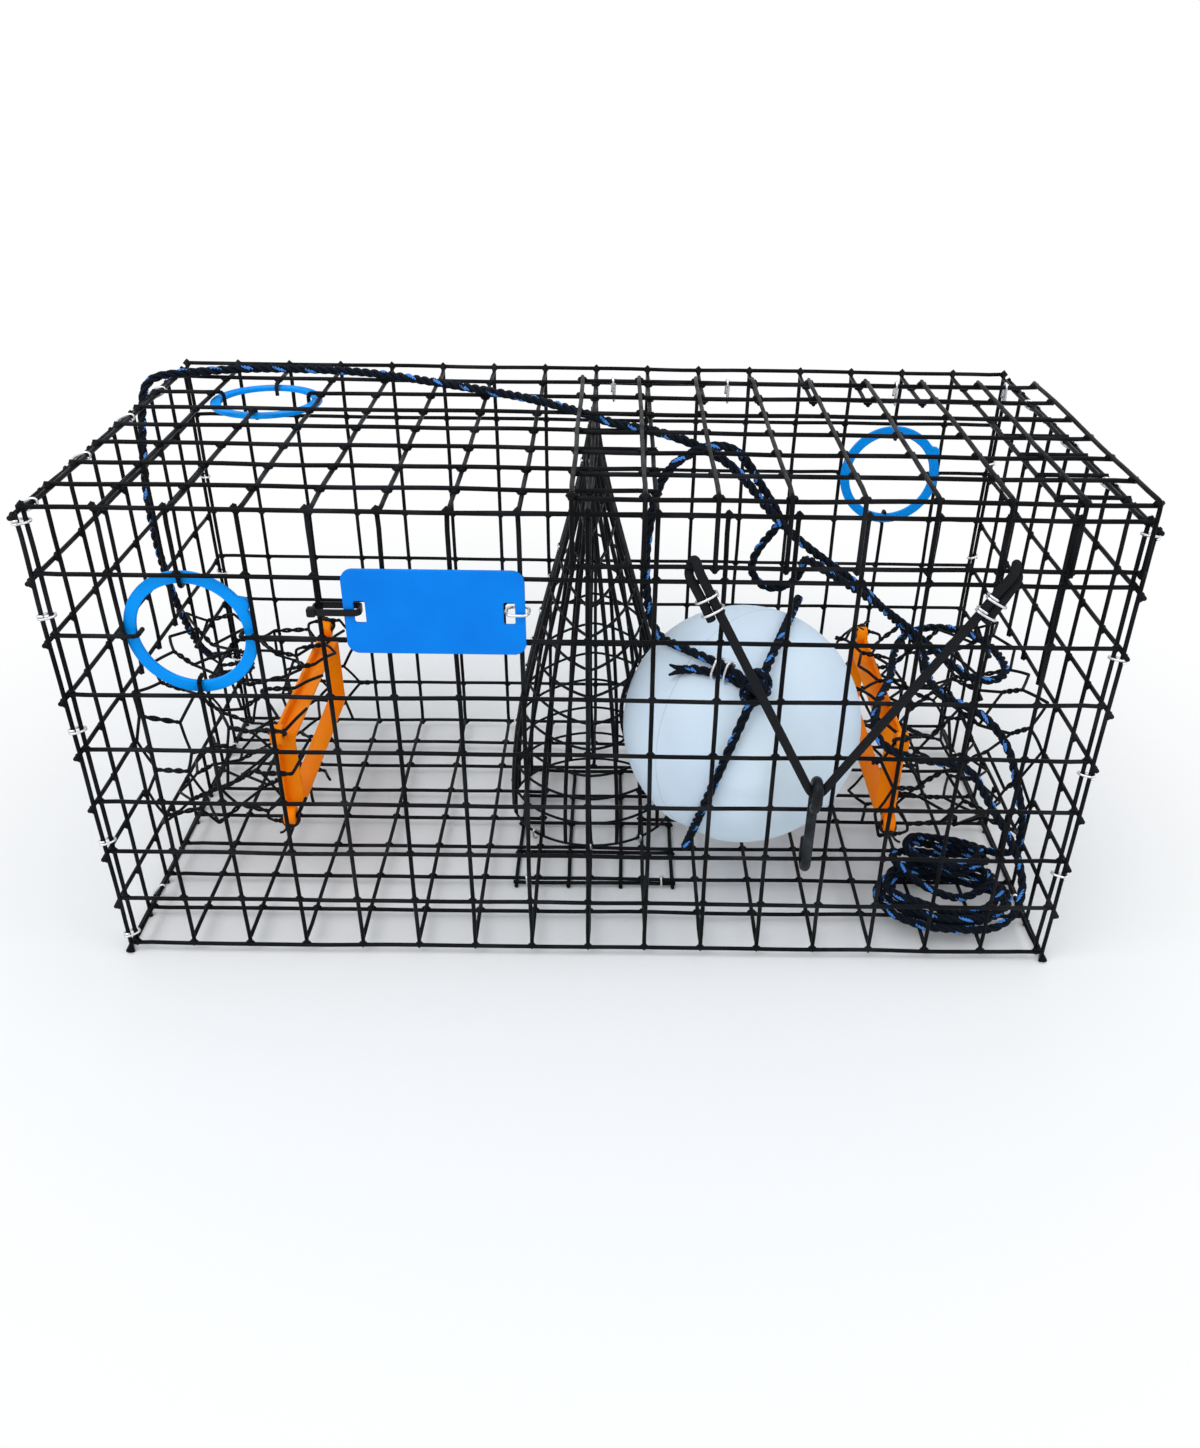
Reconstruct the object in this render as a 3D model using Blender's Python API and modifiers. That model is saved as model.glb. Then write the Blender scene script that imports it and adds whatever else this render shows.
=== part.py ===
"""Half-size wire crab trap: welded mesh cage, top door with bungee latch, bait well, floor bait door,
two side funnels with throat frames, escape rings, gear tag, float and pot line.

Frame: metres, +Z up, X along the trap, -Y is the latch's side, origin on the ground under the middle
of the whole without its line.
"""
import math

import bmesh
import bpy
from mathutils import Matrix, Vector

MM = 0.001

# Clearances
GAP = 0.3 * MM
MERGE = 0.01 * MM

# Welded mesh of the cage
CELL = 38.1 * MM
WIRE = 2.8 * MM
COLUMNS = 16
DEEP = 8
HIGH = 8
LENGTH = COLUMNS * CELL
DEPTH = DEEP * CELL
HEIGHT = HIGH * CELL
HALF_WIRE = WIRE / 2
LAYER = WIRE + GAP
PRESS = 1.5 * MM
OVERHANG = 2.0 * MM

# Hog rings that act as hinges
RING_WIRE = 1.8 * MM
RING_POINTS = 3

# Places of the panels' row wires
BAIT_DOOR_Z = LAYER + HALF_WIRE + GAP
FLOOR_Z = BAIT_DOOR_Z + LAYER
TOP_Z = FLOOR_Z + HEIGHT
END_Z = OVERHANG
END_X = LENGTH / 2 + OVERHANG + GAP + HALF_WIRE + LAYER

# Hook rod and eye, which stand out in front of the cage and set where its middle lies
HOOK_ROD = 6.6 * MM
HOOK_EYE = 5.8 * MM
LATCH_OUT = HALF_WIRE + GAP + 2 * HOOK_ROD + HOOK_EYE
MIDDLE_Y = (LATCH_OUT - OVERHANG) / 2
FRONT_Y = MIDDLE_Y - DEPTH / 2
BACK_Y = MIDDLE_Y + DEPTH / 2

# Door opening in the top, in cells from the left and from the front
OPENING_COLUMNS = (9, 15)
OPENING_ROWS = (0, 6)

# Hinged door over the opening
DOOR_COLUMNS = 8
DOOR_ROWS = 6
DOOR_PITCH = 39.1 * MM
DOOR_LEFT = -8.5 * MM
ROPE = 5.8 * MM
ROPE_ROOM = 1.6 * MM
DOOR_LIFT = WIRE + ROPE + ROPE_ROOM
DOOR_Z = TOP_Z + DOOR_LIFT
HINGE_Y = FRONT_Y + OPENING_ROWS[1] * CELL
FLANGE_CLEARANCE = 1.0 * MM
FLANGE_Y = FRONT_Y - WIRE - FLANGE_CLEARANCE
DOOR_RING_X = (13.0 * MM, 92.0 * MM, 209.0 * MM, 285.0 * MM)

# Escape rings and the cut wire ends that hold them
ESCAPE_OUTER = 76.0 * MM
ESCAPE_INNER = 62.0 * MM
ESCAPE_THICK = 3.0 * MM
ESCAPE_SIDES = 24
ESCAPE_FROM_END = 2
ESCAPE_FROM_EDGE = 2
NUB = 3.6 * MM
NUB_AT = 2
STUB_TIP = 2.5 * MM

# Funnel mouth in the end panels, in cells from the front and from the bottom
MOUTH_COLUMNS = (2, 6)
MOUTH_ROWS = (1, 4)
NET_WIRE = 2.2 * MM
NET_AROUND = 9
NET_ALONG = 3
NET_ZIGZAG = 0.22

# Throat frames at the inner ends of the funnels
THROAT_X = 213.0 * MM
THROAT_WIDE = 147.4 * MM
THROAT_HIGH = 50.8 * MM
THROAT_WALL = 2.5 * MM
THROAT_SLEEVE = 12.0 * MM
FLANGE_RIM = 4.8 * MM
EAR_RADIUS = 7.0 * MM
EAR_HOLE = 2.6 * MM
EAR_SEGMENTS = 4
EAR_HOLE_SIDES = 5
BOSS_LONG = 8.0 * MM
BOSS_INSET = 0.3 * MM
BOSS_BORE = 3.0 * MM
BOSS_SIDES = 8

# Bait well, a mesh tube round at the floor and pinched flat at the top
WELL_WIRE = 2.4 * MM
WELL_SIDES = 14
WELL_ROWS = 10
WELL_FOOT = 62.0 * MM
WELL_FOOT_Y = MIDDLE_Y + 19.0 * MM
WELL_PINCH = 3.0 * MM
WELL_PINCH_LONG = 104.0 * MM
WELL_PINCH_Y = MIDDLE_Y - 11.0 * MM
WELL_TAPER = 1.15

# Floor opening under the bait well, and its door, in cells
BAIT_COLUMNS = (7, 9)
BAIT_ROWS = (3, 6)
BAIT_DOOR_COLUMNS = 3
BAIT_DOOR_ROWS = 4
BAIT_DOOR_LEFT = -54.0 * MM
BAIT_HINGE_ROW = 2
BAIT_RING_X = (-46.0 * MM, 52.0 * MM)

# Float with an axial bore
FLOAT_RADIUS = 80.8 * MM
FLOAT_X = 103.0 * MM
FLOAT_Y = FRONT_Y + LAYER + HALF_WIRE + ROPE + 2 * GAP + FLOAT_RADIUS
FLOAT_UP = 122.7 * MM
FLOAT_BORE = 9.0 * MM
FLOAT_FLAT = 17.0 * MM
FLOAT_RINGS = 8
FLOAT_STEPS = 18
FLOAT_AXIS = Vector((0.405, 0.503, 0.763)).normalized()
TOWARD_FRONT = Vector((-0.107, -0.859, 0.5))

# Gear tag with its tie and clip
TAG_LONG = 102.0 * MM
TAG_HIGH = 51.0 * MM
TAG_THICK = 2.4 * MM
TAG_CORNER = 7.0 * MM
TAG_COLUMN = 7
TAG_PAST_COLUMN = 3.1 * MM
TAG_X = TAG_COLUMN * CELL - LENGTH / 2 + TAG_PAST_COLUMN - TAG_LONG / 2
TAG_UP = 247.5 * MM
SLOT_WIDE = 6.5 * MM
SLOT_HIGH = 13.5 * MM
SLOT_INSET = 9.0 * MM
SLOT_CORNER = 1.2 * MM
TIE_WIDE = 3.8 * MM
TIE_THICK = 1.2 * MM
TIE_CORNER = 2.4 * MM
TIE_COLUMN = 4
TIE_HEAD = 6.0 * MM
TIE_HEAD_DEEP = 4.2 * MM
CLIP_ROOM = 1.0 * MM
CLIP_CORNER = 2.0 * MM

# Hook and bungee
HOOK_X = 139.5 * MM
HOOK_ROW = 2
HOOK_TOP_UP = 66.0 * MM
HOOK_TIP = 13.0 * MM
HOOK_EYE_TAIL = 13.0 * MM
BUNGEE = 5.4 * MM
BUNGEE_ENDS = (61.0 * MM, 233.0 * MM)
CLAMP_WIRE = 1.6 * MM
CLAMP_SHARES = (0.1, 0.7)
TAIL = 30.0 * MM
WRAP_START = -80
WRAP_STEP = 45
WRAP_POINTS = 7

# Pot line, its heap and the float's bridle
HEAP_X = 250.0 * MM
HEAP_Y = MIDDLE_Y - 97.0 * MM
HEAP_WIDE = 50.0 * MM
HEAP_DEEP = 42.0 * MM
HEAP_PITCH = 6.3 * MM
HEAP_LAYERS = 2
HEAP_TURNS = 6.5
HEAP_POINTS = 24
CURVE_STEPS = 12
LINE_LONGEST = 60.0 * MM
LINE_BEND = math.radians(34)
BRIDLE_TURN = 11.0 * MM
BRIDLE_LEAVES = math.radians(74)
BRIDLE_MOUTH = 14.0 * MM
BRIDLE_INSIDE = 30.0 * MM
KNOT_ANGLE = math.radians(10)
KNOT_SIZE = (9.0 * MM, 13.0 * MM, 16.0 * MM)

# Route of the line on the trap's side, from its eye at the back corner to the heap,
# in millimetres from the middle of the floor panel
TRAP_ROUTE = [
    (-316, 108, 63), (-316, 122, 58), (-311, 135, 54), (-301, 140, 51), (-295, 150, 51),
    (-300, 161, 52), (-311, 166, 54), (-322, 160, 58), (-325, 147, 64), (-322, 131, 71),
    (-318, 117, 81), (-316, 100, 94), (-316, 86, 112), (-316, 72, 136), (-316, 60, 165),
    (-316, 52, 198), (-316, 51, 232), (-316, 58, 260), (-316.2, 70, 284), (-316.4, 79, 296),
    (-315, 84, 305), (-310, 89, 310), (-300, 96, 310.8), (-280, 109, 309.8),
    (-250, 119, 309.6), (-214, 120, 309.6), (-178, 116, 309.6), (-146, 106, 309.6),
    (-115, 91, 309.6), (-80, 73, 309.6), (-44, 52, 309.6), (-10, 23, 309.8), (14, -3, 309.8),
    (38, -17, 309.8), (60, -30, 307), (81, -38, 299), (97, -33, 284), (110, -27, 267),
    (128, -20, 247), (146, -18, 232), (168, -10, 214), (190, 3, 194), (210, 18, 172),
    (230, 33, 151), (241, 37, 140), (246, 27, 134), (243, 8, 132.5), (242, -14, 132),
    (246, -36, 133), (255, -54, 136), (264, -69, 137), (273, -81, 131), (281, -87, 119),
    (288, -90, 101), (293, -92, 85), (298, -93, 68), (300, -92, 51), (298, -86, 34),
    (291, -73, 21.4), (280, -60.5, 14.7), (268, -55.2, 14),
]

# Route of the line on the float's side, from the heap to the knot on the float
FLOAT_ROUTE = [
    (268, -139, 7.7), (282, -138, 11), (293, -132, 20), (297, -122, 34), (292, -112, 52),
    (283, -106, 68), (273, -102, 82), (264, -100, 96), (256, -99, 108), (245, -100, 116),
    (230, -101, 119), (214, -100, 121), (198, -94, 124), (191, -81, 129), (193, -64, 134),
    (199, -46, 136), (207, -28, 136), (214, -8, 134), (220, 16, 132), (228, 42, 133),
    (240, 60, 135), (257, 66, 137), (276, 54, 141), (288, 30, 144), (293, 2, 145),
    (291, -22, 145), (281, -31, 143), (268, -24, 141), (257, -8, 143), (244, 7, 149),
    (228, 12, 161), (210, 6, 176), (193, -5, 191), (175, -16, 206), (158, -26, 219),
    (147, -24, 226), (143, -10, 222), (144, 0, 212), (141, 4, 202), (132, 5, 195),
    (121, 5, 195), (112, 4, 202),
    (109, 2, 213), (113, 0, 226), (120, -4, 238), (124, -11, 250), (117, -18, 264),
    (107, -22, 279), (99, -25, 292), (90, -31, 302), (79, -39, 307.6), (67, -46, 307.8),
    (55, -50, 303), (46, -50, 294), (40, -50, 280), (37, -50, 262), (35, -50, 240),
    (36, -50, 216), (39, -51, 197), (45, -62, 189), (53, -76, 191), (62.8, -90.3, 193.1),
    (74.9, -102.5, 193.3), (86, -111.1, 191.6),
]


def clear_scene():
    for obj in list(bpy.data.objects):
        bpy.data.objects.remove(obj, do_unlink=True)


def collection(name):
    made = bpy.data.collections.new(name)
    bpy.context.scene.collection.children.link(made)
    return made


def principled(name, colour, roughness, metallic=0.0):
    material = bpy.data.materials.new(name)
    material.use_nodes = True
    shader = material.node_tree.nodes["Principled BSDF"]
    shader.inputs["Base Color"].default_value = (*colour, 1.0)
    shader.inputs["Roughness"].default_value = roughness
    shader.inputs["Metallic"].default_value = metallic
    return material


def add_object(name, data, group, material=None):
    obj = bpy.data.objects.new(name, data)
    group.objects.link(obj)
    if material is not None:
        data.materials.append(material)
    return obj


def place(obj, location, turn=None):
    """Put an object at a place, with an optional 3x3 turn."""
    basis = turn.to_4x4() if turn is not None else Matrix.Identity(4)
    obj.matrix_world = Matrix.Translation(location) @ basis


def hang_on(obj, carrier):
    """Parent an object without moving it."""
    obj.parent = carrier
    obj.matrix_parent_inverse = carrier.matrix_world.inverted()


def pivot(name, location, group):
    empty = bpy.data.objects.new(name, None)
    empty.location = location
    group.objects.link(empty)
    bpy.context.view_layer.update()
    return empty


def mesh_from(bm, name):
    bmesh.ops.recalc_face_normals(bm, faces=bm.faces)
    mesh = bpy.data.meshes.new(name)
    bm.to_mesh(mesh)
    bm.free()
    return mesh


def add_wireframe(obj, wire):
    """Every edge of a sheet of cells becomes a wire, and its faces become holes."""
    frame = obj.modifiers.new("wires", "WIREFRAME")
    frame.thickness = wire
    frame.offset = 0.0
    frame.use_boundary = True
    frame.use_replace = True
    frame.use_even_offset = False
    frame.use_relative_offset = False


def block(columns, rows):
    return {(i, j) for i in range(*columns) for j in range(*rows)}


def wires(name, paths, diameter, group, material, resolution=2, closed=False):
    """Round wires or cords along lists of points, with filled ends."""
    curve = bpy.data.curves.new(name, "CURVE")
    curve.dimensions = "3D"
    curve.bevel_depth = diameter / 2
    curve.bevel_resolution = resolution
    curve.use_fill_caps = not closed
    for points in paths:
        spline = curve.splines.new("POLY")
        spline.points.add(len(points) - 1)
        for point, spot in zip(spline.points, points):
            point.co = (*spot, 1.0)
        spline.use_cyclic_u = closed
    return add_object(name, curve, group, material)


def tube(name, points, diameter, group, material, resolution=2, closed=False):
    return wires(name, [points], diameter, group, material, resolution, closed)


def plate(name, outlines, thickness, group, material):
    """Flat piece from closed outlines in its own XY plane, the inner ones being holes."""
    curve = bpy.data.curves.new(name, "CURVE")
    curve.dimensions = "2D"
    curve.fill_mode = "BOTH"
    curve.extrude = thickness / 2
    for outline in outlines:
        spline = curve.splines.new("POLY")
        spline.points.add(len(outline) - 1)
        for point, (x, y) in zip(spline.points, outline):
            point.co = (x, y, 0.0, 1.0)
        spline.use_cyclic_u = True
    return add_object(name, curve, group, material)


def as_mesh(obj, group):
    """Replace a curve object by its welded mesh."""
    bpy.context.view_layer.update()
    evaluated = obj.evaluated_get(bpy.context.evaluated_depsgraph_get())
    mesh = bpy.data.meshes.new_from_object(evaluated)
    bm = bmesh.new()
    bm.from_mesh(mesh)
    bmesh.ops.remove_doubles(bm, verts=bm.verts, dist=MERGE)
    bmesh.ops.recalc_face_normals(bm, faces=bm.faces)
    bm.to_mesh(mesh)
    bm.free()
    name = obj.name
    world = obj.matrix_world.copy()
    bpy.data.objects.remove(obj, do_unlink=True)
    made = bpy.data.objects.new(name, mesh)
    group.objects.link(made)
    made.matrix_world = world
    return made


def as_cutter(obj):
    obj.hide_render = True
    obj.display_type = "WIRE"


def combine(obj, other, operation):
    modifier = obj.modifiers.new(operation.lower(), "BOOLEAN")
    modifier.operation = operation
    modifier.object = other
    as_cutter(other)


def arc(centre, radius, start, end, steps):
    """Points on a flat arc, angles in degrees."""
    points = []
    for k in range(steps + 1):
        angle = math.radians(start + (end - start) * k / steps)
        points.append((centre[0] + radius * math.cos(angle), centre[1] + radius * math.sin(angle)))
    return points


def circle(centre, radius, sides, start=0):
    return arc(centre, radius, start, start + 360, sides)[:-1]


def rounded_rectangle(wide, high, corner, steps):
    points = []
    corners = [(1, 1, 0), (-1, 1, 90), (-1, -1, 180), (1, -1, 270)]
    for sx, sy, start in corners:
        centre = (sx * (wide / 2 - corner), sy * (high / 2 - corner))
        points += arc(centre, corner, start, start + 90, steps)
    return points


def smooth_curve(points, fine):
    """Dense points along a smooth curve through the given ones."""
    dense = []
    for k in range(len(points) - 1):
        before = points[max(k - 1, 0)]
        start, end = points[k], points[k + 1]
        after = points[min(k + 2, len(points) - 1)]
        for m in range(fine):
            t = m / fine
            pull = (end - before) * 0.5
            push = (after - start) * 0.5
            a = 2 * t ** 3 - 3 * t ** 2 + 1
            b = t ** 3 - 2 * t ** 2 + t
            c = -2 * t ** 3 + 3 * t ** 2
            d = t ** 3 - t ** 2
            dense.append(start * a + pull * b + end * c + push * d)
    dense.append(points[-1].copy())
    return dense


def path_length(points):
    return sum((end - start).length for start, end in zip(points, points[1:]))


def thinned(points, bend, longest):
    """The points of a dense path that a tube needs: one at each bend's angle, or at the longest run."""
    chosen, turned, run = [points[0]], 0.0, 0.0
    for before, spot, after in zip(points, points[1:], points[2:]):
        run += (spot - before).length
        turned += (spot - before).angle(after - spot)
        if turned >= bend or run >= longest:
            chosen.append(spot)
            turned, run = 0.0, 0.0
    if (points[-1] - chosen[-1]).length < ROPE:
        chosen.pop()
    chosen.append(points[-1])
    return chosen


def cage_point(point):
    """A route point in metres, in the part's own frame."""
    x, y, z = point
    return Vector((x * MM, y * MM + MIDDLE_Y, z * MM + FLOOR_Z))


def least_gap(points, diameter, skip):
    """Least clear distance between stretches of a tube that aren't neighbours along it."""
    least = math.inf
    for k, one in enumerate(points):
        for other in points[k + skip:]:
            least = min(least, (one - other).length)
    return least - diameter


def stadium(low, high, radius, steps):
    """Closed outline round two wire centres, given as points of one plane."""
    run = high - low
    lean = math.degrees(math.atan2(run.y, run.x))
    corner = radius / math.cos(math.radians(90 / steps))
    points = arc(high, corner, lean - 90, lean + 90, steps)
    points += arc(low, corner, lean + 90, lean + 270, steps)
    return points


def ring_round_x(name, x, low, high, group, material):
    """Hog ring in a YZ plane round two wires that run along X; low and high are (Y, Z)."""
    radius = HALF_WIRE + GAP + RING_WIRE / 2
    outline = stadium(Vector(low), Vector(high), radius, RING_POINTS)
    points = [Vector((0.0, y - low[0], z - low[1])) for y, z in outline]
    ring = tube(name, points, RING_WIRE, group, material, resolution=0, closed=True)
    place(ring, (x, low[0], low[1]))
    return ring


def stretches(line, count, has_cell):
    """Runs of a wire, in cells, where it has a cell of the mesh on one side or the other."""
    runs, start = [], None
    for k in range(count + 1):
        beside = k < count and (has_cell(line - 1, k) or has_cell(line, k))
        if beside and start is None:
            start = k
        if not beside and start is not None:
            runs.append((start, k))
            start = None
    return runs


def second_lines(count):
    """The two wires, next to the outermost ones, that are pressed against the crossing wires."""
    return (1, count - 1)


def mesh_paths(columns, rows, missing, ring=None, trim=0.0, edge_rows=True):
    """Row and column wires of a welded mesh, as paths of (across, up, depth).

    The rows lie at depth 0 and the columns a layer behind them. The outermost columns and the
    second rows are pressed into the other layer, which welds every wire to the mesh. Beside an
    escape ring, centred on a crossing, the cut wires reach over the ring and turn in through it.
    """
    reach = ESCAPE_INNER / 2 - HALF_WIRE - GAP
    tip = LAYER + HALF_WIRE + GAP + ESCAPE_THICK + STUB_TIP

    def has_cell(i, j):
        return 0 <= i < columns and 0 <= j < rows and (i, j) not in missing

    def wire(line, depth, run, crossing, low, high):
        start, end = run[0] * CELL - OVERHANG, run[1] * CELL + OVERHANG
        path = [(max(start, low), depth), (min(end, high), depth)]
        if ring and line == ring[crossing]:
            middle = ring[1 - crossing] * CELL
            if run[1] == ring[1 - crossing] - 1:
                path[1] = (middle - reach, depth)
                path.append((middle - reach, tip))
            elif run[0] == ring[1 - crossing] + 1:
                path[0] = (middle + reach, depth)
                path.insert(0, (middle + reach, tip))
        return path

    row_paths, column_paths = [], []
    for j in range(0 if edge_rows else 1, rows + (1 if edge_rows else 0)):
        depth = PRESS if j in second_lines(rows) else 0.0
        for run in stretches(j, columns, lambda line, k: has_cell(k, line)):
            path = wire(j, depth, run, 1, -OVERHANG, columns * CELL + OVERHANG)
            row_paths.append([(along, j * CELL, deep) for along, deep in path])
    for i in range(columns + 1):
        depth = LAYER - PRESS if i in (0, columns) else LAYER
        for run in stretches(i, rows, has_cell):
            path = wire(i, depth, run, 0, trim - OVERHANG, rows * CELL + OVERHANG - trim)
            column_paths.append([(i * CELL, along, deep) for along, deep in path])
    return row_paths, column_paths


def weld(name, row_paths, column_paths, turn, location, group, cutters, material):
    """One panel from its two layers of wires; turn holds the across, up and depth directions."""
    rows = as_mesh(wires(name, row_paths, WIRE, group, None, resolution=0), group)
    columns = wires(f"{name}_columns", column_paths, WIRE, cutters, None, resolution=0)
    columns = as_mesh(columns, cutters)
    rows.data.materials.append(material)
    place(rows, location, turn)
    place(columns, location, turn)
    combine(rows, columns, "UNION")
    return rows


def directions(across, up, depth):
    return Matrix((across, up, depth)).transposed()


def ring_hole(column, row):
    return block((column - 1, column + 1), (row - 1, row + 1))


def build_wall(name, y, inward, ring_column, group, cutters, material):
    """Front or back panel; inward is the direction of the cage's inside."""
    ring = (ring_column, HIGH - ESCAPE_FROM_EDGE)
    paths = mesh_paths(COLUMNS, HIGH, ring_hole(*ring), ring)
    turn = directions((1, 0, 0), (0, 0, 1), inward)
    corner = Vector((-LENGTH / 2, y, FLOOR_Z))
    weld(name, *paths, turn, corner, group, cutters, material)
    return corner + Vector((ring[0] * CELL, 0, ring[1] * CELL))


def build_lid(name, z, hole, ring, inward, group, cutters, material):
    """Top or floor panel, whose edge rows are the corner wires of the front and back panels."""
    missing = set(hole) | (ring_hole(*ring) if ring else set())
    trim = OVERHANG + LAYER + HALF_WIRE + GAP
    paths = mesh_paths(COLUMNS, DEEP, missing, ring, trim, edge_rows=False)
    turn = directions((1, 0, 0), (0, 1, 0), inward)
    weld(name, *paths, turn, Vector((-LENGTH / 2, FRONT_Y, z)), group, cutters, material)


def build_end(name, side, group, cutters, material):
    """End panel with the funnel's mouth; its columns are the inner layer."""
    paths = mesh_paths(DEEP, HIGH, block(MOUTH_COLUMNS, MOUTH_ROWS))
    turn = directions((0, 1, 0), (0, 0, 1), (-side, 0, 0))
    weld(name, *paths, turn, Vector((side * END_X, FRONT_Y, END_Z)), group, cutters, material)


def build_door(group, cutters, material):
    """Door with a flange folded down at its front; the columns lie over the rows."""
    run = HINGE_Y - FLANGE_Y
    pitch = run / DOOR_ROWS
    wide = DOOR_COLUMNS * DOOR_PITCH
    row_paths, column_paths = [], []
    for j in range(DOOR_ROWS + 1):
        z = PRESS if j in second_lines(DOOR_ROWS) else 0.0
        row_paths.append([(-OVERHANG, -j * pitch, z), (wide + OVERHANG, -j * pitch, z)])
    row_paths.append([(-OVERHANG, -run, -CELL), (wide + OVERHANG, -run, -CELL)])
    for i in range(DOOR_COLUMNS + 1):
        rise = LAYER - PRESS if i in (0, DOOR_COLUMNS) else LAYER
        x = i * DOOR_PITCH
        column_paths.append([
            (x, OVERHANG, rise),
            (x, -run - rise, rise),
            (x, -run - rise, -CELL - OVERHANG),
        ])
    location = Vector((DOOR_LEFT, HINGE_Y, DOOR_Z))
    return weld("door", row_paths, column_paths, Matrix.Identity(3), location, group, cutters, material)


def bait_hinge_y():
    return FRONT_Y + BAIT_HINGE_ROW * CELL


def build_bait_door(group, cutters, material):
    paths = mesh_paths(BAIT_DOOR_COLUMNS, BAIT_DOOR_ROWS, set())
    turn = directions((1, 0, 0), (0, 1, 0), (0, 0, -1))
    location = Vector((BAIT_DOOR_LEFT, bait_hinge_y(), BAIT_DOOR_Z))
    return weld("bait_door", *paths, turn, location, group, cutters, material)


def well_bottom():
    return FLOOR_Z + LAYER + HALF_WIRE + GAP + WELL_WIRE / 2


def well_top():
    return TOP_Z - LAYER - HALF_WIRE - GAP - WELL_WIRE / 2


def float_centre():
    return Vector((FLOAT_X, FLOAT_Y, FLOOR_Z + FLOAT_UP))


def build_bait_well(group, material):
    """Mesh tube whose section goes from a circle at the floor to a flat pinch under the top."""
    low, high = well_bottom(), well_top()
    half = WELL_SIDES // 2
    clear = FLOAT_RADIUS + GAP + WELL_WIRE / 2 + CELL ** 2 / (8 * FLOAT_RADIUS)

    def node_at(i, j):
        rise = j / WELL_ROWS
        side = 1 if i <= half else -1
        share = i / half if i <= half else (WELL_SIDES - i) / half
        spread = math.sin(math.pi / 2 * (1 - rise) ** WELL_TAPER)
        across = WELL_PINCH + (WELL_FOOT - WELL_PINCH) * spread
        along = WELL_FOOT + (WELL_PINCH_LONG - WELL_FOOT) * rise
        middle = WELL_FOOT_Y + (WELL_PINCH_Y - WELL_FOOT_Y) * rise
        travel = (1 - rise) * math.cos(math.pi * share) + rise * (1 - 2 * share)
        bulge = (1 - min(travel ** 2, 1.0)) ** (0.5 + rise / 2)
        spot = Vector((side * across * bulge, middle + along * travel, low + (high - low) * rise))
        away = spot - float_centre()
        if away.length < clear:
            spot = float_centre() + away.normalized() * clear
        return spot

    bm = bmesh.new()
    grid = [[bm.verts.new(node_at(i, j)) for i in range(WELL_SIDES)] for j in range(WELL_ROWS + 1)]
    for low_ring, high_ring in zip(grid, grid[1:]):
        for i in range(WELL_SIDES):
            after = (i + 1) % WELL_SIDES
            bm.faces.new([low_ring[i], low_ring[after], high_ring[after], high_ring[i]])
    well = add_object("bait_well", mesh_from(bm, "bait_well"), group, material)
    add_wireframe(well, WELL_WIRE)


def rectangle_point(share, half_wide, half_high):
    """Point at a share of a rectangle's outline, from the middle of its top."""
    run = (share % 1.0) * 4 * (half_wide + half_high)
    for start, end in (((0, 1), (1, 1)), ((1, 1), (1, -1)), ((1, -1), (-1, -1)),
                       ((-1, -1), (-1, 1)), ((-1, 1), (0, 1))):
        a = Vector((start[0] * half_wide, start[1] * half_high))
        b = Vector((end[0] * half_wide, end[1] * half_high))
        if run <= (b - a).length:
            return a.lerp(b, run / (b - a).length)
        run -= (b - a).length
    return Vector((0.0, half_high))


def mouth_centre_z():
    return END_Z + sum(MOUTH_ROWS) * CELL / 2


def build_funnel(name, side, group, material):
    """Hexagon netting lofted from the mouth in the end panel to the throat frame."""
    inset = OVERHANG + GAP + NET_WIRE / 2
    mouth = ((MOUTH_COLUMNS[1] - MOUTH_COLUMNS[0]) * CELL / 2 - inset,
             (MOUTH_ROWS[1] - MOUTH_ROWS[0]) * CELL / 2 - inset)
    rim = THROAT_WALL + FLANGE_RIM / 2
    throat = (THROAT_WIDE / 2 + rim, THROAT_HIGH / 2 + rim)
    outer = END_X - LAYER
    inner = THROAT_X + GAP + NET_WIRE / 2
    around = 2 * NET_AROUND
    bm = bmesh.new()
    rings = []
    for r in range(NET_ALONG + 1):
        ring = []
        for i in range(around):
            up = NET_ZIGZAG if (i + r) % 2 == 0 else -NET_ZIGZAG
            share = (r + up + NET_ZIGZAG) / (NET_ALONG + 2 * NET_ZIGZAG)
            half_wide = mouth[0] + (throat[0] - mouth[0]) * share
            half_high = mouth[1] + (throat[1] - mouth[1]) * share
            spot = rectangle_point(i / around, half_wide, half_high)
            x = outer + (inner - outer) * share
            ring.append(bm.verts.new((side * x, MIDDLE_Y + spot.x, mouth_centre_z() + spot.y)))
        rings.append(ring)
    for r in range(NET_ALONG):
        for i in range(r % 2, around, 2):
            steps = [i, (i + 1) % around, (i + 2) % around]
            bm.faces.new([rings[r][k] for k in steps] + [rings[r + 1][k] for k in reversed(steps)])
    funnel = add_object(name, mesh_from(bm, name), group, material)
    add_wireframe(funnel, NET_WIRE)


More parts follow.
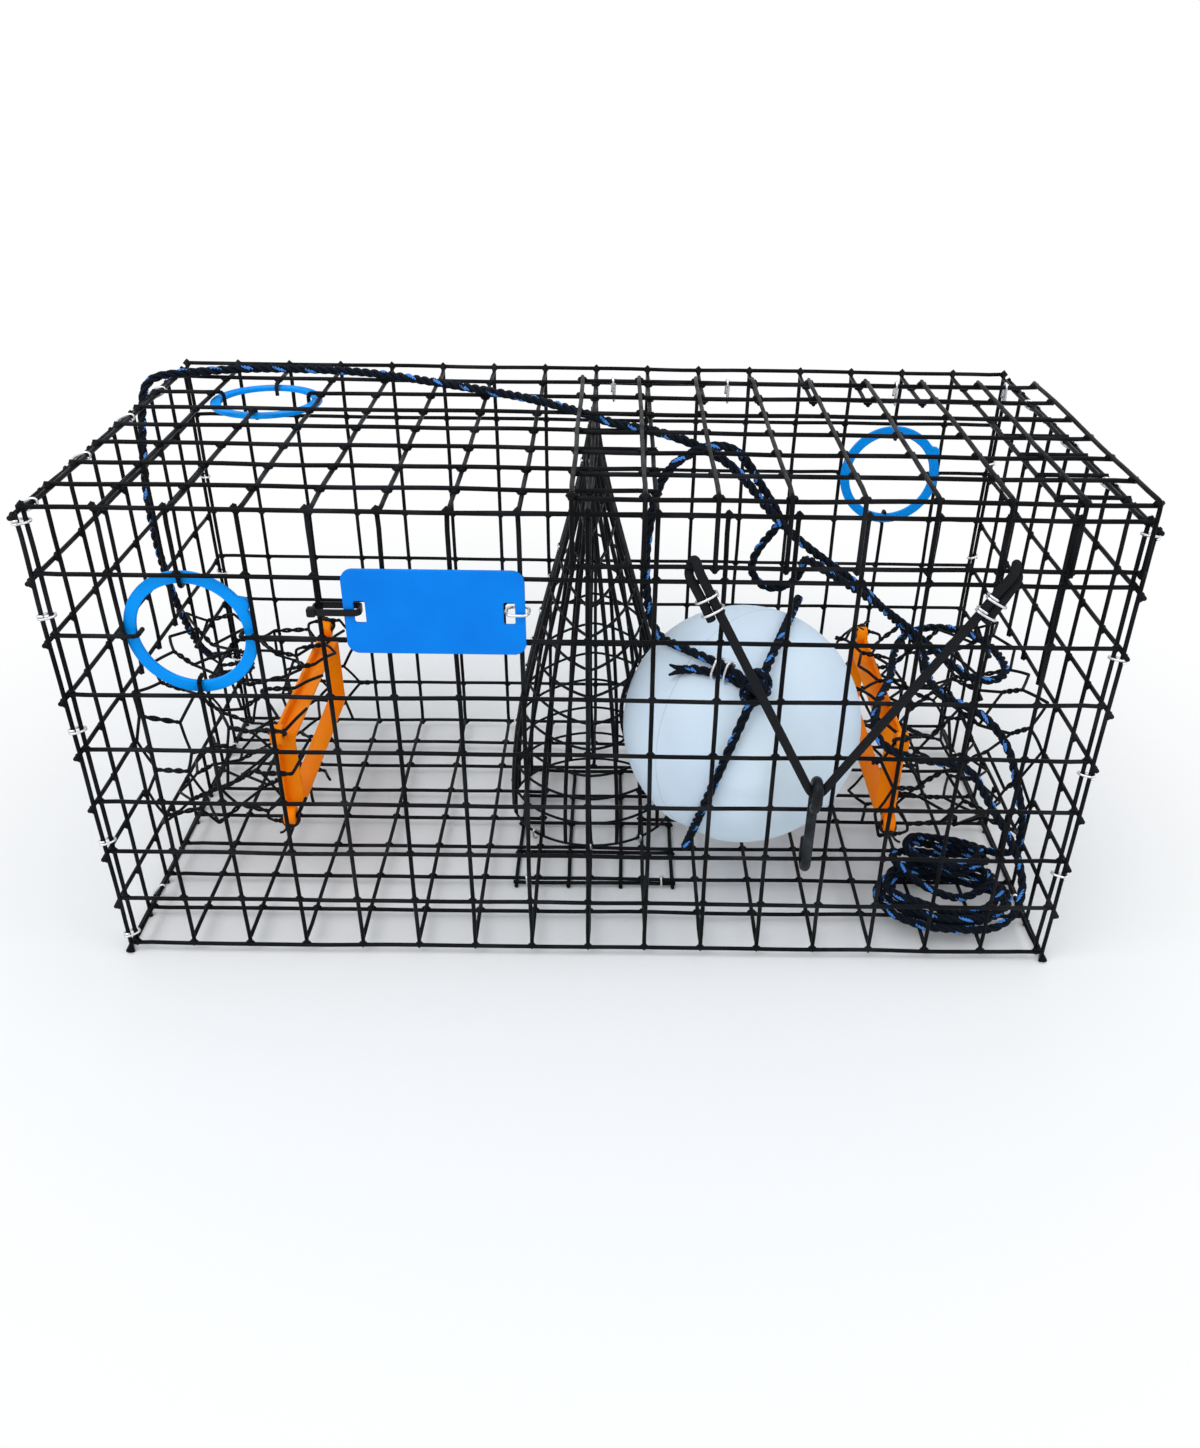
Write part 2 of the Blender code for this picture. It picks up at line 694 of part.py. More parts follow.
def build_throat(name, side, group, cutters, material):
    """Orange frame: a rectangular sleeve behind a thin rim that has an eyelet at each corner."""
    outer_wide = THROAT_WIDE + 2 * THROAT_WALL
    outer_high = THROAT_HIGH + 2 * THROAT_WALL
    rim_wide = outer_wide / 2 + FLANGE_RIM
    rim_high = outer_high / 2 + FLANGE_RIM
    outline, holes = [], []
    for sx, sy, start in ((1, 1, -90), (-1, 1, 0), (-1, -1, 90), (1, -1, 180)):
        corner = (sx * rim_wide, sy * rim_high)
        outline += arc(corner, EAR_RADIUS, start, start + 270, EAR_SEGMENTS)
        holes.append(circle(corner, EAR_HOLE, EAR_HOLE_SIDES, start=15))
    overlap = THROAT_WALL / 2
    window = rounded_rectangle(THROAT_WIDE + overlap, THROAT_HIGH + overlap, THROAT_WALL, 1)
    rim = as_mesh(plate(name, [outline, window] + holes, THROAT_WALL, group, None), group)
    rim.data.materials.append(material)
    sleeve_outline = rounded_rectangle(outer_wide, outer_high, 2 * THROAT_WALL, 2)
    sleeve_bore = rounded_rectangle(THROAT_WIDE, THROAT_HIGH, THROAT_WALL, 2)
    sleeve = plate(name + "_sleeve", [sleeve_outline, sleeve_bore], THROAT_SLEEVE, cutters, None)
    sleeve = as_mesh(sleeve, cutters)
    turn = Matrix(((0, 0, -side), (side, 0, 0), (0, 1, 0)))
    face = side * (THROAT_X - THROAT_WALL / 2)
    place(rim, (face, MIDDLE_Y, mouth_centre_z()), turn)
    place(sleeve, (face - side * THROAT_SLEEVE / 2, MIDDLE_Y, mouth_centre_z()), turn)
    combine(rim, sleeve, "UNION")
    boss_outlines = []
    for sx, sy in ((1, 1), (-1, 1), (-1, -1), (1, -1)):
        corner = (sx * rim_wide, sy * rim_high)
        boss_outlines.append(circle(corner, EAR_RADIUS - BOSS_INSET, BOSS_SIDES))
        boss_outlines.append(circle(corner, BOSS_BORE, BOSS_SIDES))
    boss_long = BOSS_LONG - THROAT_WALL / 2
    bosses = as_mesh(plate(name + "_bosses", boss_outlines, boss_long, cutters, None), cutters)
    place(bosses, (face - side * boss_long / 2, MIDDLE_Y, mouth_centre_z()), turn)
    combine(rim, bosses, "UNION")


def build_escape_ring(name, centre, turn, inward, group, material):
    outline = circle((0, 0), ESCAPE_OUTER / 2, ESCAPE_SIDES)
    outline[NUB_AT] = tuple(value * (1 + 2 * NUB / ESCAPE_OUTER) for value in outline[NUB_AT])
    opening = circle((0, 0), ESCAPE_INNER / 2, ESCAPE_SIDES)
    ring = plate(name, [outline, opening], ESCAPE_THICK, group, material)
    place(ring, centre + inward * (LAYER + HALF_WIRE + GAP + ESCAPE_THICK / 2), turn)


def build_tag(group, material):
    slots = []
    for side in (-1, 1):
        slot = rounded_rectangle(SLOT_WIDE, SLOT_HIGH, SLOT_CORNER, 1)
        slots.append([(x + side * (TAG_LONG / 2 - SLOT_INSET), y) for x, y in slot])
    outline = rounded_rectangle(TAG_LONG, TAG_HIGH, TAG_CORNER, 4)
    tag = plate("tag", [outline] + slots, TAG_THICK, group, material)
    y = FRONT_Y - HALF_WIRE - GAP - TAG_THICK / 2
    place(tag, (TAG_X, y, FLOOR_Z + TAG_UP), Matrix(((1, 0, 0), (0, 0, -1), (0, 1, 0))))
    return y


def box(name, size, group):
    bm = bmesh.new()
    bmesh.ops.create_cube(bm, size=1.0)
    bmesh.ops.scale(bm, verts=bm.verts, vec=size)
    return add_object(name, mesh_from(bm, name), group)


def build_tie(tag_y, group, cutters, material):
    """Cable tie through the tag's left slot and round a wire of the front panel."""
    wire_x = TIE_COLUMN * CELL - LENGTH / 2
    slot_x = TAG_X - TAG_LONG / 2 + SLOT_INSET
    left = wire_x - HALF_WIRE - GAP - TIE_THICK
    right = slot_x + TIE_THICK / 2
    front = tag_y - TAG_THICK / 2 - GAP - TIE_THICK
    back = FRONT_Y + LAYER + HALF_WIRE + GAP + TIE_THICK
    wide, deep = right - left, back - front
    outer = rounded_rectangle(wide, deep, TIE_CORNER, 2)
    inner = rounded_rectangle(wide - 2 * TIE_THICK, deep - 2 * TIE_THICK, TIE_CORNER - TIE_THICK, 2)
    tie = as_mesh(plate("cable_tie", [outer, inner], TIE_WIDE, group, None), group)
    tie.data.materials.append(material)
    centre = Vector(((left + right) / 2, (front + back) / 2, FLOOR_Z + TAG_UP))
    place(tie, centre)
    head = box("cable_tie_head", (TIE_HEAD, TIE_HEAD_DEEP, TIE_HEAD), cutters)
    place(head, (left + (TIE_THICK - TIE_HEAD) / 2, front + TIE_HEAD_DEEP / 2, centre.z))
    combine(tie, head, "UNION")


def build_tag_clip(tag_y, group, material):
    """Small hog ring through the tag's right slot and round a wire of the front panel."""
    slot_left = TAG_X + TAG_LONG / 2 - SLOT_INSET - SLOT_WIDE / 2
    left = slot_left + RING_WIRE / 2 + GAP
    right = TAG_X + TAG_LONG / 2 + CLIP_ROOM + RING_WIRE / 2
    front = tag_y - TAG_THICK / 2 - CLIP_ROOM - RING_WIRE / 2
    back = FRONT_Y + LAYER + HALF_WIRE + GAP + RING_WIRE / 2
    outline = rounded_rectangle(right - left, back - front, CLIP_CORNER, 1)
    points = [Vector((x, y, 0.0)) for x, y in outline]
    clip = tube("tag_clip", points, RING_WIRE, group, material, resolution=0, closed=True)
    place(clip, ((left + right) / 2, (front + back) / 2, FLOOR_Z + TAG_UP))


def hook_row_z():
    return FLOOR_Z + HOOK_ROW * CELL


def hook_shank_y():
    return FRONT_Y - HALF_WIRE - GAP - HOOK_ROD / 2


def build_hook(group, material):
    """Bent rod: an eye for the bungee, a straight shank, and a bend that goes under a wire row."""
    turn = HALF_WIRE + GAP + HOOK_ROD / 2
    shank = hook_shank_y()
    row = hook_row_z()
    top = row + HOOK_TOP_UP
    eye = (HOOK_EYE + HOOK_ROD) / 2
    close = shank - HOOK_ROD - GAP
    path = [(close, top - eye - HOOK_EYE_TAIL), (shank - 2 * eye, top - 2 * eye)]
    path += arc((shank - eye, top - eye), eye, 180, 0, 6)
    path += arc((FRONT_Y, row), turn, 180, 360, 6)
    path.append((FRONT_Y + turn, row + HOOK_TIP))
    points = [Vector((0.0, y - shank, z - top)) for y, z in path]
    hook = tube("hook", points, HOOK_ROD, group, material)
    place(hook, (HOOK_X, shank, top))
    return hook


def build_bungee(group, material):
    """Elastic cord: over the flange wire, down to the hook's eye, and up over the wire again."""
    wire_z = DOOR_Z - CELL
    wrap = (HALF_WIRE + GAP + BUNGEE / 2) / math.cos(math.radians(WRAP_STEP / 2))
    eye = (HOOK_EYE + HOOK_ROD) / 2
    eye_y = hook_shank_y() - eye
    eye_z = hook_row_z() + HOOK_TOP_UP - HOOK_ROD - GAP - BUNGEE / 2
    beside = BUNGEE + GAP
    halves = []
    for end, side in ((BUNGEE_ENDS[0], -1), (BUNGEE_ENDS[1], 1)):
        start = Vector((end, FLANGE_Y - wrap, wire_z))
        lean = (Vector((HOOK_X + side * eye, eye_y, eye_z)) - start).normalized()
        outside = (lean.cross(Vector((0, 1, 0))) * side).normalized() * beside
        strand = [start + outside + lean * reach for reach in (TAIL, TAIL / 2)]
        for k in range(WRAP_POINTS):
            angle = math.radians(WRAP_START + WRAP_STEP * k)
            x = end + side * beside * (1 - k / (WRAP_POINTS - 1))
            strand.append(Vector((x, FLANGE_Y + wrap * math.cos(angle), wire_z + wrap * math.sin(angle))))
        strand += [start + lean * TAIL / 3, start + lean * TAIL]
        halves.append(strand)
    middle = []
    for share in (-1, -0.5, 0, 0.5, 1):
        middle.append(Vector((HOOK_X + share * BUNGEE, eye_y, eye_z + share * share * BUNGEE)))
    points = halves[0] + middle + list(reversed(halves[1]))
    bungee = tube("bungee_cord", points, BUNGEE, group, material)
    return bungee, halves


def build_clamps(halves, group, material):
    """Two oval rings at each end that hold the cord's tail to its leg."""
    clamps = []
    radius = BUNGEE / 2 + GAP + CLAMP_WIRE / 2
    for strand, end in zip(halves, ("left", "right")):
        tail_end, tail, leg = strand[0], strand[1], strand[-1]
        down = (tail_end - tail).normalized()
        apart = leg - tail_end
        sideways = apart.normalized()
        outward = down.cross(sideways)
        outline = stadium(Vector((0, 0)), Vector((apart.length, 0)), radius, RING_POINTS)
        for k, share in enumerate(CLAMP_SHARES):
            points = [sideways * a + outward * b for a, b in outline]
            name = f"bungee_clamp_{end}_{k + 1}"
            clamp = tube(name, points, CLAMP_WIRE, group, material, resolution=0, closed=True)
            place(clamp, tail.lerp(tail_end, share))
            clamps.append(clamp)
    return clamps


def build_float(group, material):
    """Turned foam ball with flattened ends and a bore, from a profile spun about its axis."""
    flat = math.asin(FLOAT_FLAT / FLOAT_RADIUS)
    profile = []
    for k in range(FLOAT_RINGS + 1):
        angle = flat + (math.pi - 2 * flat) * k / FLOAT_RINGS
        profile.append((FLOAT_RADIUS * math.sin(angle), FLOAT_RADIUS * math.cos(angle)))
    end = FLOAT_RADIUS * math.cos(flat)
    profile.append((FLOAT_BORE, -end))
    profile.append((FLOAT_BORE, end))
    bm = bmesh.new()
    verts = [bm.verts.new((x, 0.0, z)) for x, z in profile]
    for k, vert in enumerate(verts):
        bm.edges.new((vert, verts[(k + 1) % len(verts)]))
    mesh = bpy.data.meshes.new("float")
    bm.to_mesh(mesh)
    bm.free()
    ball = add_object("float", mesh, group, material)
    screw = ball.modifiers.new("turned", "SCREW")
    screw.axis = "Z"
    screw.steps = FLOAT_STEPS
    screw.render_steps = FLOAT_STEPS
    screw.use_merge_vertices = True
    screw.merge_threshold = MERGE
    screw.use_smooth_shade = True
    place(ball, float_centre(), FLOAT_AXIS.to_track_quat("Z", "Y").to_matrix())


def bridle_axes():
    """The plane of the bridle: the way it stands out toward the front, and the bore's axis."""
    outward = TOWARD_FRONT - FLOAT_AXIS * TOWARD_FRONT.dot(FLOAT_AXIS)
    return outward.normalized(), FLOAT_AXIS


def knot_place():
    outward, axis = bridle_axes()
    direction = outward * math.cos(KNOT_ANGLE) + axis * math.sin(KNOT_ANGLE)
    return float_centre() + direction * (FLOAT_RADIUS + GAP + KNOT_SIZE[0]), direction


def build_bridle(group, material):
    """Loop through the float's bore and over its front, open at the knot."""
    outward, axis = bridle_axes()
    ride = FLOAT_RADIUS + GAP + ROPE / 2
    reach = ride * math.sin(BRIDLE_LEAVES)
    foot = ride * math.cos(BRIDLE_LEAVES)
    knot_half = (KNOT_SIZE[2] + GAP) / ride
    lift = KNOT_SIZE[0] - ROPE / 2

    def over_the_ball(start, end, steps, from_knot):
        spots = []
        for k in range(steps + 1):
            angle = start + (end - start) * k / steps
            near_knot = 1 - k / steps if from_knot else k / steps
            radius = ride + lift * near_knot ** 3
            spots.append((radius * math.cos(angle), radius * math.sin(angle)))
        return spots

    inside = foot - 2 * BRIDLE_TURN
    mouth, deep = reach - BRIDLE_MOUTH, reach - BRIDLE_INSIDE
    flat = over_the_ball(KNOT_ANGLE + knot_half, BRIDLE_LEAVES, 3, True)
    flat += arc((foot - BRIDLE_TURN, reach), BRIDLE_TURN, 30, 150, 3)
    flat += [(inside / 3, mouth), (0.0, deep), (0.0, -deep), (inside / 3, -mouth)]
    flat += arc((foot - BRIDLE_TURN, -reach), BRIDLE_TURN, 210, 330, 3)
    flat += over_the_ball(-BRIDLE_LEAVES, KNOT_ANGLE - knot_half, 6, False)
    points = [float_centre() + outward * p + axis * q for p, q in flat]
    tube("float_bridle", points, ROPE, group, material)


def build_knot(group, material):
    centre, direction = knot_place()
    bm = bmesh.new()
    bmesh.ops.create_uvsphere(bm, u_segments=12, v_segments=8, radius=1.0)
    bmesh.ops.scale(bm, verts=bm.verts, vec=KNOT_SIZE)
    knot = add_object("float_knot", mesh_from(bm, "float_knot"), group, material)
    across = direction.cross(FLOAT_AXIS).normalized()
    place(knot, centre, directions(direction, across, across.cross(direction)))


def heap_points():
    """Loops of the line in one unbroken tube: it spirals in and out again and climbs at each turn-back."""
    points = []
    per_layer = HEAP_TURNS / HEAP_LAYERS
    base = FLOOR_Z + LAYER + HALF_WIRE + GAP + ROPE / 2
    count = int(HEAP_TURNS * HEAP_POINTS)
    for k in range(count + 1):
        turns = k / HEAP_POINTS
        angle = math.radians(-90) - 2 * math.pi * turns
        layer = turns / per_layer
        phase = layer % 2
        inset = HEAP_PITCH * per_layer * (phase if phase <= 1 else 2 - phase)
        climb = sum(min(max((turns - per_layer * m) * 2 + 0.5, 0.0), 1.0) for m in range(1, HEAP_LAYERS))
        x = HEAP_X + (HEAP_WIDE - inset) * math.cos(angle)
        y = HEAP_Y + (HEAP_DEEP - inset) * math.sin(angle)
        points.append(Vector((x, y, base + HEAP_PITCH * climb)))
    start = (points[0] - points[1])
    end = (points[-1] - points[-2])
    start.z = end.z = 0.0
    points.insert(0, points[0] + start.normalized() * ROPE)
    points.append(points[-1] + end.normalized() * ROPE)
    return points


def build_line(group, material):
    """The pot line: the trap's stretch, the heap on the floor and the float's stretch."""
    heap = heap_points()
    print("least gap in the heap, mm:", round(least_gap(heap, ROPE, HEAP_POINTS // 2) / MM, 2))
    tube("line_heap", heap, ROPE, group, material, resolution=1)
    start = (heap[0] - heap[1]).normalized()
    end = (heap[-1] - heap[-2]).normalized()
    trap = [cage_point(point) for point in TRAP_ROUTE]
    trap += [heap[-1] + end * (GAP + ROPE), heap[-1] + end * GAP]
    to_float = [heap[0] + start * GAP, heap[0] + start * (GAP + ROPE)]
    to_float += [cage_point(point) for point in FLOAT_ROUTE]
    knot = knot_place()[0]
    approach = (to_float[-1] - knot).normalized()
    to_float.append(knot + approach * (KNOT_SIZE[1] + GAP))
    for name, route in (("line_trap_side", trap), ("line_float_side", to_float)):
        curve = smooth_curve(route, CURVE_STEPS)
        even = thinned(curve, math.inf, ROPE / 2)
        path = [route[0]] + thinned(curve[CURVE_STEPS:-CURVE_STEPS], LINE_BEND, LINE_LONGEST) + [route[-1]]
        print(name, "length mm", round(path_length(curve) / MM),
              "least gap mm", round(least_gap(even, ROPE, 8) / MM, 2))
        tube(name, path, ROPE, group, material)


def main():
    clear_scene()
    trap = collection("crab_trap")
    cutters = collection("cutters")
    black = principled("black_coated_wire", (0.012, 0.012, 0.014), 0.42)
    net = principled("black_netting", (0.014, 0.014, 0.015), 0.5)
    orange = principled("orange_plastic", (1.0, 0.22, 0.004), 0.4)
    blue = principled("blue_plastic", (0.0, 0.21, 0.85), 0.4)
    white = principled("white_foam", (0.86, 0.88, 0.92), 0.75)
    steel = principled("galvanised_wire", (0.72, 0.73, 0.74), 0.3, 1.0)
    rope = principled("black_rope", (0.014, 0.016, 0.024), 0.7)

    # Cage panels
    to_back, to_front, down, up = (Vector(way) for way in ((0, 1, 0), (0, -1, 0), (0, 0, -1), (0, 0, 1)))
    front_ring = build_wall("front_panel", FRONT_Y, to_back, ESCAPE_FROM_END, trap, cutters, black)
    back_ring = build_wall("back_panel", BACK_Y, to_front, COLUMNS - ESCAPE_FROM_END, trap, cutters, black)
    opening = block(OPENING_COLUMNS, OPENING_ROWS)
    lid_ring = (ESCAPE_FROM_END, DEEP - ESCAPE_FROM_EDGE)
    build_lid("top_panel", TOP_Z, opening, lid_ring, down, trap, cutters, black)
    build_lid("floor_panel", FLOOR_Z, block(BAIT_COLUMNS, BAIT_ROWS), None, up, trap, cutters, black)
    build_end("left_end_panel", -1, trap, cutters, black)
    build_end("right_end_panel", 1, trap, cutters, black)

    # Escape rings, seated on the inner face of their panels
    flat = Matrix.Identity(3)
    upright = directions((1, 0, 0), (0, 0, 1), (0, -1, 0))
    top_ring = Vector((lid_ring[0] * CELL - LENGTH / 2, FRONT_Y + lid_ring[1] * CELL, TOP_Z))
    build_escape_ring("escape_ring_front", front_ring, upright, to_back, trap, blue)
    build_escape_ring("escape_ring_back", back_ring, upright, to_front, trap, blue)
    build_escape_ring("escape_ring_top", top_ring, flat, down, trap, blue)

    # Door, its hinge rings and its latch
    door_pivot = pivot("door_hinge_axis", (0.0, HINGE_Y, DOOR_Z), trap)
    hang_on(build_door(trap, cutters, black), door_pivot)
    for k, x in enumerate(DOOR_RING_X):
        ring_round_x(f"door_hinge_ring_{k + 1}", x, (HINGE_Y, TOP_Z), (HINGE_Y, DOOR_Z), trap, steel)
    swing = pivot("bungee_swing_axis", (0.0, FLANGE_Y, DOOR_Z - CELL), trap)
    hang_on(swing, door_pivot)
    bungee, halves = build_bungee(trap, net)
    hang_on(bungee, swing)
    for clamp in build_clamps(halves, trap, steel):
        hang_on(clamp, swing)
    hang_on(build_hook(trap, black), swing)

    # Bait well and the door under it
    build_bait_well(trap, net)
    bait_pivot = pivot("bait_door_hinge_axis", (0.0, bait_hinge_y(), BAIT_DOOR_Z), trap)
    hang_on(build_bait_door(trap, cutters, black), bait_pivot)
    low, high = (bait_hinge_y(), BAIT_DOOR_Z), (bait_hinge_y(), FLOOR_Z)
    for k, x in enumerate(BAIT_RING_X):
        ring_round_x(f"bait_hinge_ring_{k + 1}", x, low, high, trap, steel)

    # Funnels with their throat frames
    for name, side in (("left", -1), ("right", 1)):
        build_funnel(f"{name}_funnel", side, trap, net)
        build_throat(f"{name}_throat_frame", side, trap, cutters, orange)

    # Tag with its tie and clip
    tag_y = build_tag(trap, blue)
    build_tie(tag_y, trap, cutters, black)
    build_tag_clip(tag_y, trap, steel)

    # Float, its bridle and the pot line
    build_float(trap, white)
    build_bridle(trap, rope)
    build_knot(trap, rope)
    build_line(trap, rope)


main()
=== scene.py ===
"""Looks of a half-size wire crab trap: round coated wires, netting, rope, plastic and foam."""
import random
from math import asin, atan2, cos, pi, radians, sin, sqrt

import bpy
import numpy as np
from mathutils import Matrix, Vector


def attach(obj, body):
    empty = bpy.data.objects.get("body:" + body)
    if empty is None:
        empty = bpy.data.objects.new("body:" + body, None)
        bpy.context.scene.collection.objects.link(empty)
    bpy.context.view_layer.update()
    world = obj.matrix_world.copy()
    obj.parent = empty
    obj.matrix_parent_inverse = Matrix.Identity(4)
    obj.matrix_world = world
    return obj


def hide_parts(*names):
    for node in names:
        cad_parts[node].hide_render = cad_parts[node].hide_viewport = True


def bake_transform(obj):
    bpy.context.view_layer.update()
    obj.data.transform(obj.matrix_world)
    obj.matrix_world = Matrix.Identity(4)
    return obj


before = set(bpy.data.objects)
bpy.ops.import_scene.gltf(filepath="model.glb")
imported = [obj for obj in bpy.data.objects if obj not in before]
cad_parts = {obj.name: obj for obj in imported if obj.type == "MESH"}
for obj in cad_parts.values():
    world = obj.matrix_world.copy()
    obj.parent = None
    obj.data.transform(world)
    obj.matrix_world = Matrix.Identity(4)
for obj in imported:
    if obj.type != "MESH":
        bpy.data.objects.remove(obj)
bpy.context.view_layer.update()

MM = 0.001
GAP = 0.3

# Cage, in millimetres
CELL = 38.1
WIRE = 2.8
COLUMNS, DEEP, HIGH = 16, 8, 8
LENGTH, DEPTH, HEIGHT = COLUMNS * CELL, DEEP * CELL, HIGH * CELL
HALF_WIRE = WIRE / 2
LAYER = WIRE + GAP
# From a panel's rows to what lies clear behind its columns
CLEAR = LAYER + HALF_WIRE + GAP
NEAR_LAYER = 0.25
FAR_LAYER = LAYER - NEAR_LAYER
OVERHANG = 2.0
TRIM = OVERHANG + CLEAR
BAIT_DOOR_Z = CLEAR
FLOOR_Z = BAIT_DOOR_Z + LAYER
TOP_Z = FLOOR_Z + HEIGHT
END_Z = OVERHANG
END_X = LENGTH / 2 + OVERHANG + CLEAR
LEFT = -LENGTH / 2
HOOK_ROD = 6.6
HOOK_EYE = 5.8
MIDDLE_Y = (HALF_WIRE + GAP + 2 * HOOK_ROD + HOOK_EYE - OVERHANG) / 2
FRONT_Y = MIDDLE_Y - DEPTH / 2
BACK_Y = MIDDLE_Y + DEPTH / 2
SHIFT = Vector((0.0, MIDDLE_Y, FLOOR_Z))
OPENING_COLUMNS, OPENING_ROWS = (9, 15), (0, 6)
DOOR_COLUMNS, DOOR_ROWS = 8, 6
DOOR_PITCH = 39.1
DOOR_LEFT = -8.5
ROPE, ROPE_LOOK, ROPE_ROOM = 5.8, 6.2, 1.6
DOOR_Z = TOP_Z + WIRE + ROPE + ROPE_ROOM
HINGE_Y = FRONT_Y + OPENING_ROWS[1] * CELL
FLANGE_CLEARANCE, FLANGE_BEND = 1.0, 5.0
FLANGE_Y = FRONT_Y - WIRE - FLANGE_CLEARANCE
MOUTH_COLUMNS, MOUTH_ROWS = (2, 6), (1, 4)
BAIT_COLUMNS, BAIT_ROWS = (7, 9), (3, 6)
BAIT_DOOR_COLUMNS, BAIT_DOOR_ROWS = 3, 4
BAIT_DOOR_LEFT = -54.0
BAIT_HINGE_Y = FRONT_Y + 2 * CELL

# How far the wires wander, the swellings of their coating at the crossings, and the lowest point
WANDER, ROW_WANDER = 0.8, 0.9
WELD_RINGS, WELD_SIDES = 4, 8
WELD_OUT, WELD_IN, WELD_HALF = 3.5, 2.55, 2.1
LOWEST = 0.1

# Small rings: their wire, turns and shape, and their places along the edges on the left and right
STAPLE, THIN_STAPLE = 0.85, 0.8
STAPLE_TURNS, HINGE_TURNS, CLAMP_TURNS = 1.3, 1.2, 1.25
STAPLE_AIR, STAPLE_SQUARE, STAPLE_PITCH, STAPLE_STEPS = 0.1, 2.6, 2.15, 30
TOP_STAPLES = {-1: (-137.2, -57.3, 22.0, 88.0), 1: (-79.1, -1.7, 84.0)}
LOW_STAPLES = {-1: (-95.0, 18.0, 100.0), 1: (-96.0, 15.0, 98.0)}
FRONT_STAPLES = {-1: (296.4, 240.3, 165.5, 83.6, 8.0), 1: (296.9, 221.6, 142.0, 64.9)}
BACK_STAPLES = {-1: (219.2, 138.8, 60.0), 1: (237.3, 160.3, 85.0)}
DOOR_RING_X, BAIT_RING_X = (13.0, 92.0, 209.0, 285.0), (-46.0, 52.0)

# Escape rings, and the stub wires that hold them
ESCAPE_OUTER, ESCAPE_INNER, ESCAPE_THICK = 76.0, 62.0, 3.0
NUB, NUB_AT, NUB_HALF = 3.6, radians(30), radians(7)
FRONT_RING, BACK_RING, TOP_RING = (2, 6), (14, 6), (2, 6)
STUB_REACH = ESCAPE_INNER / 2 - HALF_WIRE - GAP
STUB_TIP = CLEAR + ESCAPE_THICK + 2.5
STUB_BEND = 2.0

# Throat frames, their netting and their ties
THROAT_X = 213.0
THROAT_WIDE, THROAT_HIGH = 147.4, 50.8
THROAT_WALL = 2.5
THROAT_SLEEVE = 12.0
LUG_RADIUS, LUG_HOLE, LUG_THICK, LUG_INSET = 7.0, 2.6, 8.0, 0.15
FLANGE_RIM = 4.8
MOUTH_Z = END_Z + sum(MOUTH_ROWS) * CELL / 2
NET_WIRE = 2.2
NET_STRAND, NET_TWISTS = 1.0, 1.5
NET_AROUND, NET_ALONG, NET_ZIGZAG = 24, 3, 0.2
NET_LOOSE, NET_MESS = 9.0, 0.6
FRINGE_OUT, FRINGE_OVER = 4.5, 6.5
NET_TIE, NET_TIE_OUT, NET_TIE_DEEP = 1.1, 4.8, 5.4
KNOB, KNOB_OUT, TIE_TAIL = 2.3, 4.6, 0.9

# Bait well
WELL_WIRE = 2.9
WELL_HOOP = 2.0
WELL_SIDES, WELL_ROWS = 20, 12
WELL_STEPS, HOOP_STEPS = 36, 72
WELL_FOOT, WELL_FOOT_Y = 62.0, MIDDLE_Y + 19.0
WELL_PINCH, WELL_PINCH_LONG, WELL_PINCH_Y = 3.0, 104.0, MIDDLE_Y - 11.0
WELL_TAPER = 1.15
WELL_ROOM, WELL_CLEARANCE = 1.2, 0.6
WELL_DRIFT, HOOP_LEAN = 0.006, 1.5
WELL_LOW, WELL_HIGH = FLOOR_Z + CLEAR + WELL_ROOM, TOP_Z - CLEAR - WELL_ROOM
SEAM_AT, SEAM_HALF, SEAM_TOP = 0.75, 0.9, 0.97
FOOT_LOW, FOOT_HIGH = 2.8, 0.4
SEAM_TURNS = (0.704, 0.722, 0.731, 0.739, 0.748, 0.757, 0.77, 0.236, 0.262, 0.275)
SEAM_STAPLES = (288.0, 268.0, 226.9, 202.8, 177.2, 153.1, 130.0, 81.2, 24.0)
FOOT_STAPLES = (0.5, 0.62, 0.4)

# Float
FLOAT_RADIUS = 80.8
FLOAT = Vector((103.0, FRONT_Y + CLEAR + ROPE + GAP + FLOAT_RADIUS, FLOOR_Z + 122.7))
FLOAT_BORE, FLOAT_FLAT = 9.0, 17.0
FLOAT_AXIS = Vector((0.405, 0.503, 0.763)).normalized()
FLOAT_STEPS, FLOAT_RINGS = 96, 61
BORE_EDGE = ((0.0, 1.5), (0.5, 0.4), (1.6, 0.0))
TOWARD_FRONT = Vector((-0.107, -0.859, 0.5))
SEAM_FACING = Vector((-0.649, 0.756, -0.079)).normalized()
SEAM_OFF, SEAM_SUNK, SEAM_WIRE, SEAM_STOP = -2.3, 0.2, 0.35, 0.6

# Knot and bridle
KNOT_ANGLE = radians(10)
KNOT_SIZE = (9.0, 13.0, 16.0)
COIL_TURNS, COIL_HALF, COIL_REACH, COIL_NARROWING = 3.1, 8.2, 5.0, 0.8
COIL_STEPS, WRAP_STEPS = 72, 60
WRAP_LONG, WRAP_WIDE, WRAP_DEEP = 10.0, 6.8, 2.8
FRAYED, KNOT_STAPLE = (1.5, 1.5, 0.8), 0.9
BRIDLE_RIDE = FLOAT_RADIUS + GAP + ROPE / 2
BRIDLE_LEAVES, BRIDLE_TURN = radians(74), 11.0
BRIDLE_MOUTH, BRIDLE_INSIDE = 14.0, 30.0

